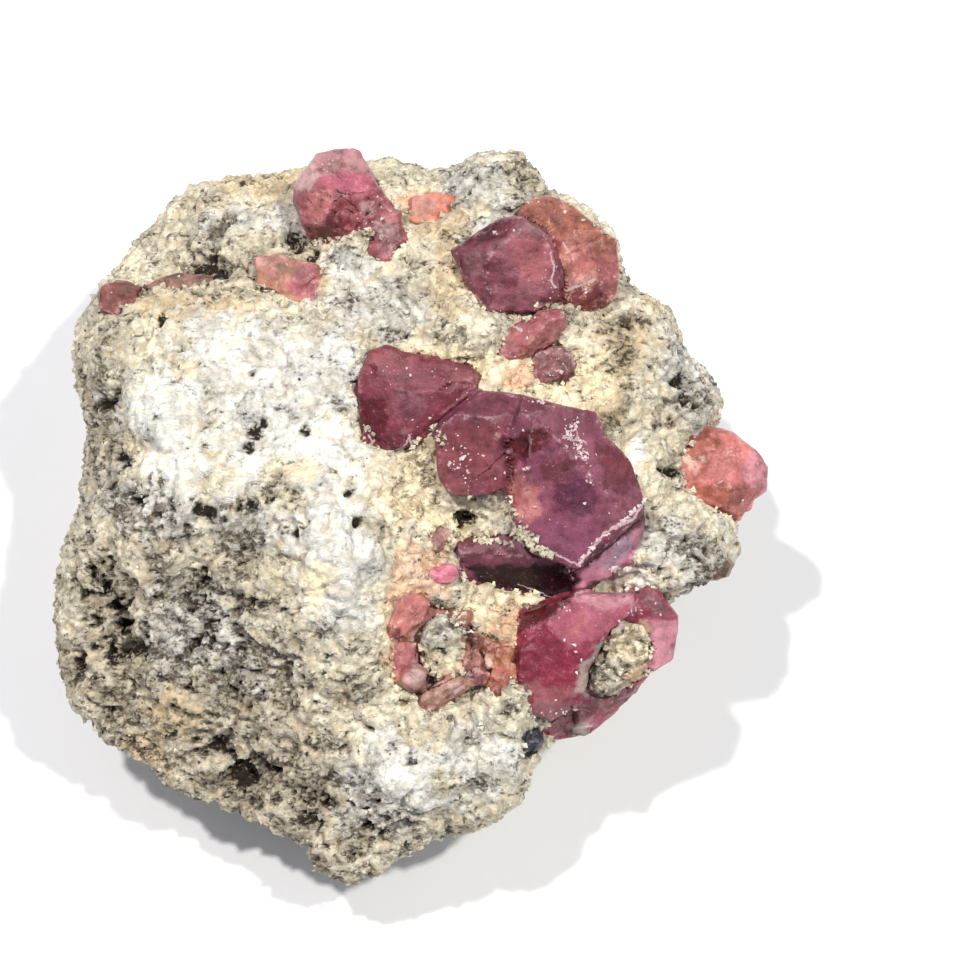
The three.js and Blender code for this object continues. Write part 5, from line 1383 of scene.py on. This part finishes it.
def spread_over(rng, spots):
    """Points strewn over spots on the display face."""
    places = []
    for x, y, half_x, half_y, turn, count in spots:
        angle = math.radians(turn)
        along, across = (rng.normal(size=(count, 2)) * (0.6 * half_x, 0.6 * half_y)).T
        places += zip(
            x + along * math.cos(angle) - across * math.sin(angle),
            y + along * math.sin(angle) + across * math.cos(angle),
        )
    return places


def dropped(places):
    """Where points of the display face meet the crystals rather than the rock."""
    crystals, rock = tree_of(LOOKS), tree_of(["matrix", "hollow_filling", "ring_filling"])
    down = Vector(-FACE_AXES[2])
    found = []
    for x, y in places:
        start = Vector(from_face(x, y, DROP_HEIGHT))
        place, _, _, gap = crystals.ray_cast(start, down)
        under = rock.ray_cast(start, down)[3]
        if place is not None and (under is None or gap < under - 0.2):
            found.append(place)
    return np.array(found)


def build_flakes(settings):
    rng = np.random.default_rng(FLAKE_SEED)
    strewn = zip(rng.uniform(-30, 32, settings.dusting), rng.uniform(-20, 34, settings.dusting))
    middles = dropped(spread_over(rng, FLAKES) + list(strewn))
    radii = settings.flake_size / MM * np.exp(rng.normal(0, 0.45, len(middles)))
    mesh = grain_mesh("frost_flakes", rng, middles, radii, 0.5)
    paint = Paint("flake crust", Roughness=0.6)
    tone = paint.noise(1.4)
    base = paint.mix(paint.stretch(tone, 0.35, 0.65), tuple(settings.frost), tuple(settings.flake))
    paint.surface(Base_Color=base)
    finish(object_of("frost_flakes", mesh), paint.material, "matrix")
    middles = dropped(spread_over(rng, CRUSTS))
    radii = settings.crumb_size / MM * rng.uniform(0.5, 1.3, len(middles))
    mesh = grain_mesh("crust_crumbs", rng, middles, radii)
    tone = np.repeat(rng.random(len(middles)), CORNERS)
    for kind in (*PATCHES, "hollow", "pit"):
        store(mesh, kind, 0 * tone)
    store(mesh, "tone", tone)
    finish(object_of("crust_crumbs", mesh), bpy.data.materials["cream grain"], "matrix")


# ------------------------------------------------------------------ the fillings

# Patches of each filling, by kind: middle and half-widths on the display face, and turn.
# The dark and pit patches are painted shadow where the fillings sink into their crystals.
FILLINGS = {
    "hollow_filling": ("filling", {
        "yellow": (18.5, -11.3, 1.9, 1.7, 0), "dark": (17.4, -13.0, 3.4, 3.0, 30),
        "pit": (16.7, -13.7, 1.3, 0.9, 30),
        "apricot": (19.9, -14.0, 1.5, 1.3, 0), "white": (17.6, -9.9, 1.0, 0.5, 0),
    }),
    "ring_filling": ("grey_filling", {
        "cool": (2.2, -9.8, 2.2, 1.3, 0), "dark": (3.2, -10.2, 1.6, 1.0, -30),
        "yellow": (2.4, -12.9, 1.4, 1.0, 0), "apricot": (4.4, -12.6, 0.8, 1.2, 0),
        "pit": (3.6, -9.6, 0.9, 0.5, -40),
    }),
}


def build_fillings():
    for node, (slot, patches) in FILLINGS.items():
        piece = remeshed(f"{node}_rock", node, FILLING_FACE * MM)
        mesh = piece.data
        mesh.shade_smooth()
        places, normals = places_of(mesh), vectors(mesh.vertex_normals, "vector")
        noise = Noise(FILLING_SEED + len(node))
        crumbs, _ = noise.crumbs(places, FILLING_CRUMB)
        grains, tone = noise.crumbs(places + 40.0, FILLING_GRAIN)
        rise = 0.6 * (crumbs - 0.6) + 0.3 * (grains - 0.6) + 0.12
        masks = dict.fromkeys((*PATCHES, "pit"), np.zeros(len(places)))
        wander = 0.4 * noise.swell(places, 1.4)
        for kind, patch in patches.items():
            masks[kind] = 1 - step(0.6, 1.3, ellipse(to_face(places), *patch) + wander)
        masks["dark"] = np.maximum(masks["dark"], 0.55 * step(-0.3, 0.4, noise.swell(places, 1.6)))
        gaps = step(0.25, 0.6, noise.swell(places + 5.0, 0.9) + 0.5 * noise.swell(places, 0.5))
        put(mesh, places + normals * (rise - 0.35 * gaps)[:, None])
        # Pit: the filling's gaps and its shadowed corner, painted near black as shade.
        masks["pit"] = np.maximum(0.8 * masks["pit"], gaps)
        for kind, cover in masks.items():
            store(mesh, kind, cover)
        # Hollow: the low places between crumbs, painted as shade.
        store(mesh, "hollow", np.clip(1.1 - 0.6 * crumbs - 0.5 * grains, 0, 1))
        store(mesh, "tone", tone)
        finish(piece, stone_finish(f"{node} stone", 0.4), slot, node)


# ------------------------------------------------------------------ the stage

def build_stage(settings):
    bpy.ops.mesh.primitive_plane_add(size=3)
    floor = bpy.context.object
    floor.name = "floor"
    paint = Paint("floor paper", Roughness=0.9, Specular_IOR_Level=0.0)
    grain = paint.noise(3.0)
    paint.surface(Base_Color=paint.mix(grain * 0.04, tuple(settings.floor), (0.85, 0.86, 0.9, 1)))
    floor.data.materials.append(paint.material)
    scene = bpy.context.scene
    world = bpy.data.worlds.new("room")
    world.use_nodes = True
    background = world.node_tree.nodes["Background"]
    background.inputs["Color"].default_value = (0.86, 0.95, 1.16, 1)
    background.inputs["Strength"].default_value = settings.room
    scene.world = world
    for name, strength, source, tint in (
        ("right light", settings.right, (0.42, -0.10, 1.0), (1.0, 0.98, 0.92)),
        ("left light", settings.left, (-0.30, 0.06, 1.0), (1.0, 0.965, 0.93)),
    ):
        light = bpy.data.lights.new(name, "SUN")
        light.energy = strength
        light.angle = settings.softness
        light.color = tint
        lamp = bpy.data.objects.new(name, light)
        lamp.rotation_euler = Vector(source).to_track_quat("Z", "Y").to_euler()
        scene.collection.objects.link(lamp)
    camera = bpy.data.cameras.new("camera")
    camera.lens = settings.lens
    camera.sensor_width = 36
    camera.clip_start = 0.005
    eye = bpy.data.objects.new("camera", camera)
    aim = from_face(*AIM) * MM
    eye.location = aim + FACE_AXES[2] * settings.distance
    eye.rotation_euler = Vector(FACE_AXES[2]).to_track_quat("Z", "Y").to_euler()
    scene.collection.objects.link(eye)
    scene.camera = eye
    scene.view_settings.view_transform = "Standard"


# ------------------------------------------------------------------ operators and panel

class SPECIMEN_OT_matrix(bpy.types.Operator):
    """Makes the lump of granular skarn"""

    bl_idname = "specimen.matrix"
    bl_label = "Matrix Rock"

    def execute(self, context):
        build_matrix(context.scene.specimen_matrix)
        return {"FINISHED"}


class SPECIMEN_OT_grains(bpy.types.Operator):
    """Scatters the mineral grains over the skarn"""

    bl_idname = "specimen.grains"
    bl_label = "Mineral Grains"

    def execute(self, context):
        build_grains(context.scene.specimen_grains)
        return {"FINISHED"}


class SPECIMEN_OT_fillings(bpy.types.Operator):
    """Makes the rock that fills the two broken garnets"""

    bl_idname = "specimen.fillings"
    bl_label = "Fillings"

    def execute(self, context):
        build_fillings()
        return {"FINISHED"}


class SPECIMEN_OT_large_garnets(bpy.types.Operator):
    """Makes the seven large garnets"""

    bl_idname = "specimen.large_garnets"
    bl_label = "Large Garnets"

    def execute(self, context):
        for name in LARGE:
            build_garnet(name, LOOKS[name], context.scene.specimen_garnets)
        return {"FINISHED"}


class SPECIMEN_OT_small_garnets(bpy.types.Operator):
    """Makes the small garnets, buds and grains of crystal"""

    bl_idname = "specimen.small_garnets"
    bl_label = "Small Garnets"

    def execute(self, context):
        for name, look in LOOKS.items():
            if name not in LARGE:
                build_garnet(name, look, context.scene.specimen_garnets)
        return {"FINISHED"}


class SPECIMEN_OT_flakes(bpy.types.Operator):
    """Strews pale flakes of crust over the crystals"""

    bl_idname = "specimen.flakes"
    bl_label = "Frost Flakes"

    def execute(self, context):
        build_flakes(context.scene.specimen_garnets)
        return {"FINISHED"}


class SPECIMEN_OT_stage(bpy.types.Operator):
    """Makes the floor, the lights and the camera"""

    bl_idname = "specimen.stage"
    bl_label = "Stage"

    def execute(self, context):
        build_stage(context.scene.specimen_stage)
        return {"FINISHED"}


OPERATORS = (
    SPECIMEN_OT_matrix, SPECIMEN_OT_fillings, SPECIMEN_OT_grains, SPECIMEN_OT_large_garnets,
    SPECIMEN_OT_small_garnets, SPECIMEN_OT_flakes, SPECIMEN_OT_stage,
)


class SPECIMEN_PT_panel(bpy.types.Panel):
    """Lists the steps that make the specimen, in order"""

    bl_idname = "SPECIMEN_PT_panel"
    bl_label = "Garnet Specimen"
    bl_space_type = "VIEW_3D"
    bl_region_type = "UI"
    bl_category = "Specimen"

    def draw(self, context):
        for operator in OPERATORS:
            self.layout.operator(operator.bl_idname)


SETTINGS = {
    "specimen_matrix": MatrixSettings,
    "specimen_grains": GrainSettings,
    "specimen_garnets": GarnetSettings,
    "specimen_colours": GarnetColours,
    "specimen_tones": GarnetTones,
    "specimen_stage": StageSettings,
}
CLASSES = (*SETTINGS.values(), *OPERATORS, SPECIMEN_PT_panel)


def register():
    for item in CLASSES:
        bpy.utils.register_class(item)
    for name, group in SETTINGS.items():
        setattr(bpy.types.Scene, name, PointerProperty(type=group))


def unregister():
    for name in SETTINGS:
        delattr(bpy.types.Scene, name)
    for item in reversed(CLASSES):
        bpy.utils.unregister_class(item)


def main():
    register()
    bpy.ops.specimen.matrix()
    bpy.ops.specimen.fillings()
    bpy.ops.specimen.grains()
    bpy.ops.specimen.large_garnets()
    bpy.ops.specimen.small_garnets()
    bpy.ops.specimen.flakes()
    bpy.ops.specimen.stage()


if __name__ == "__main__":
    main()
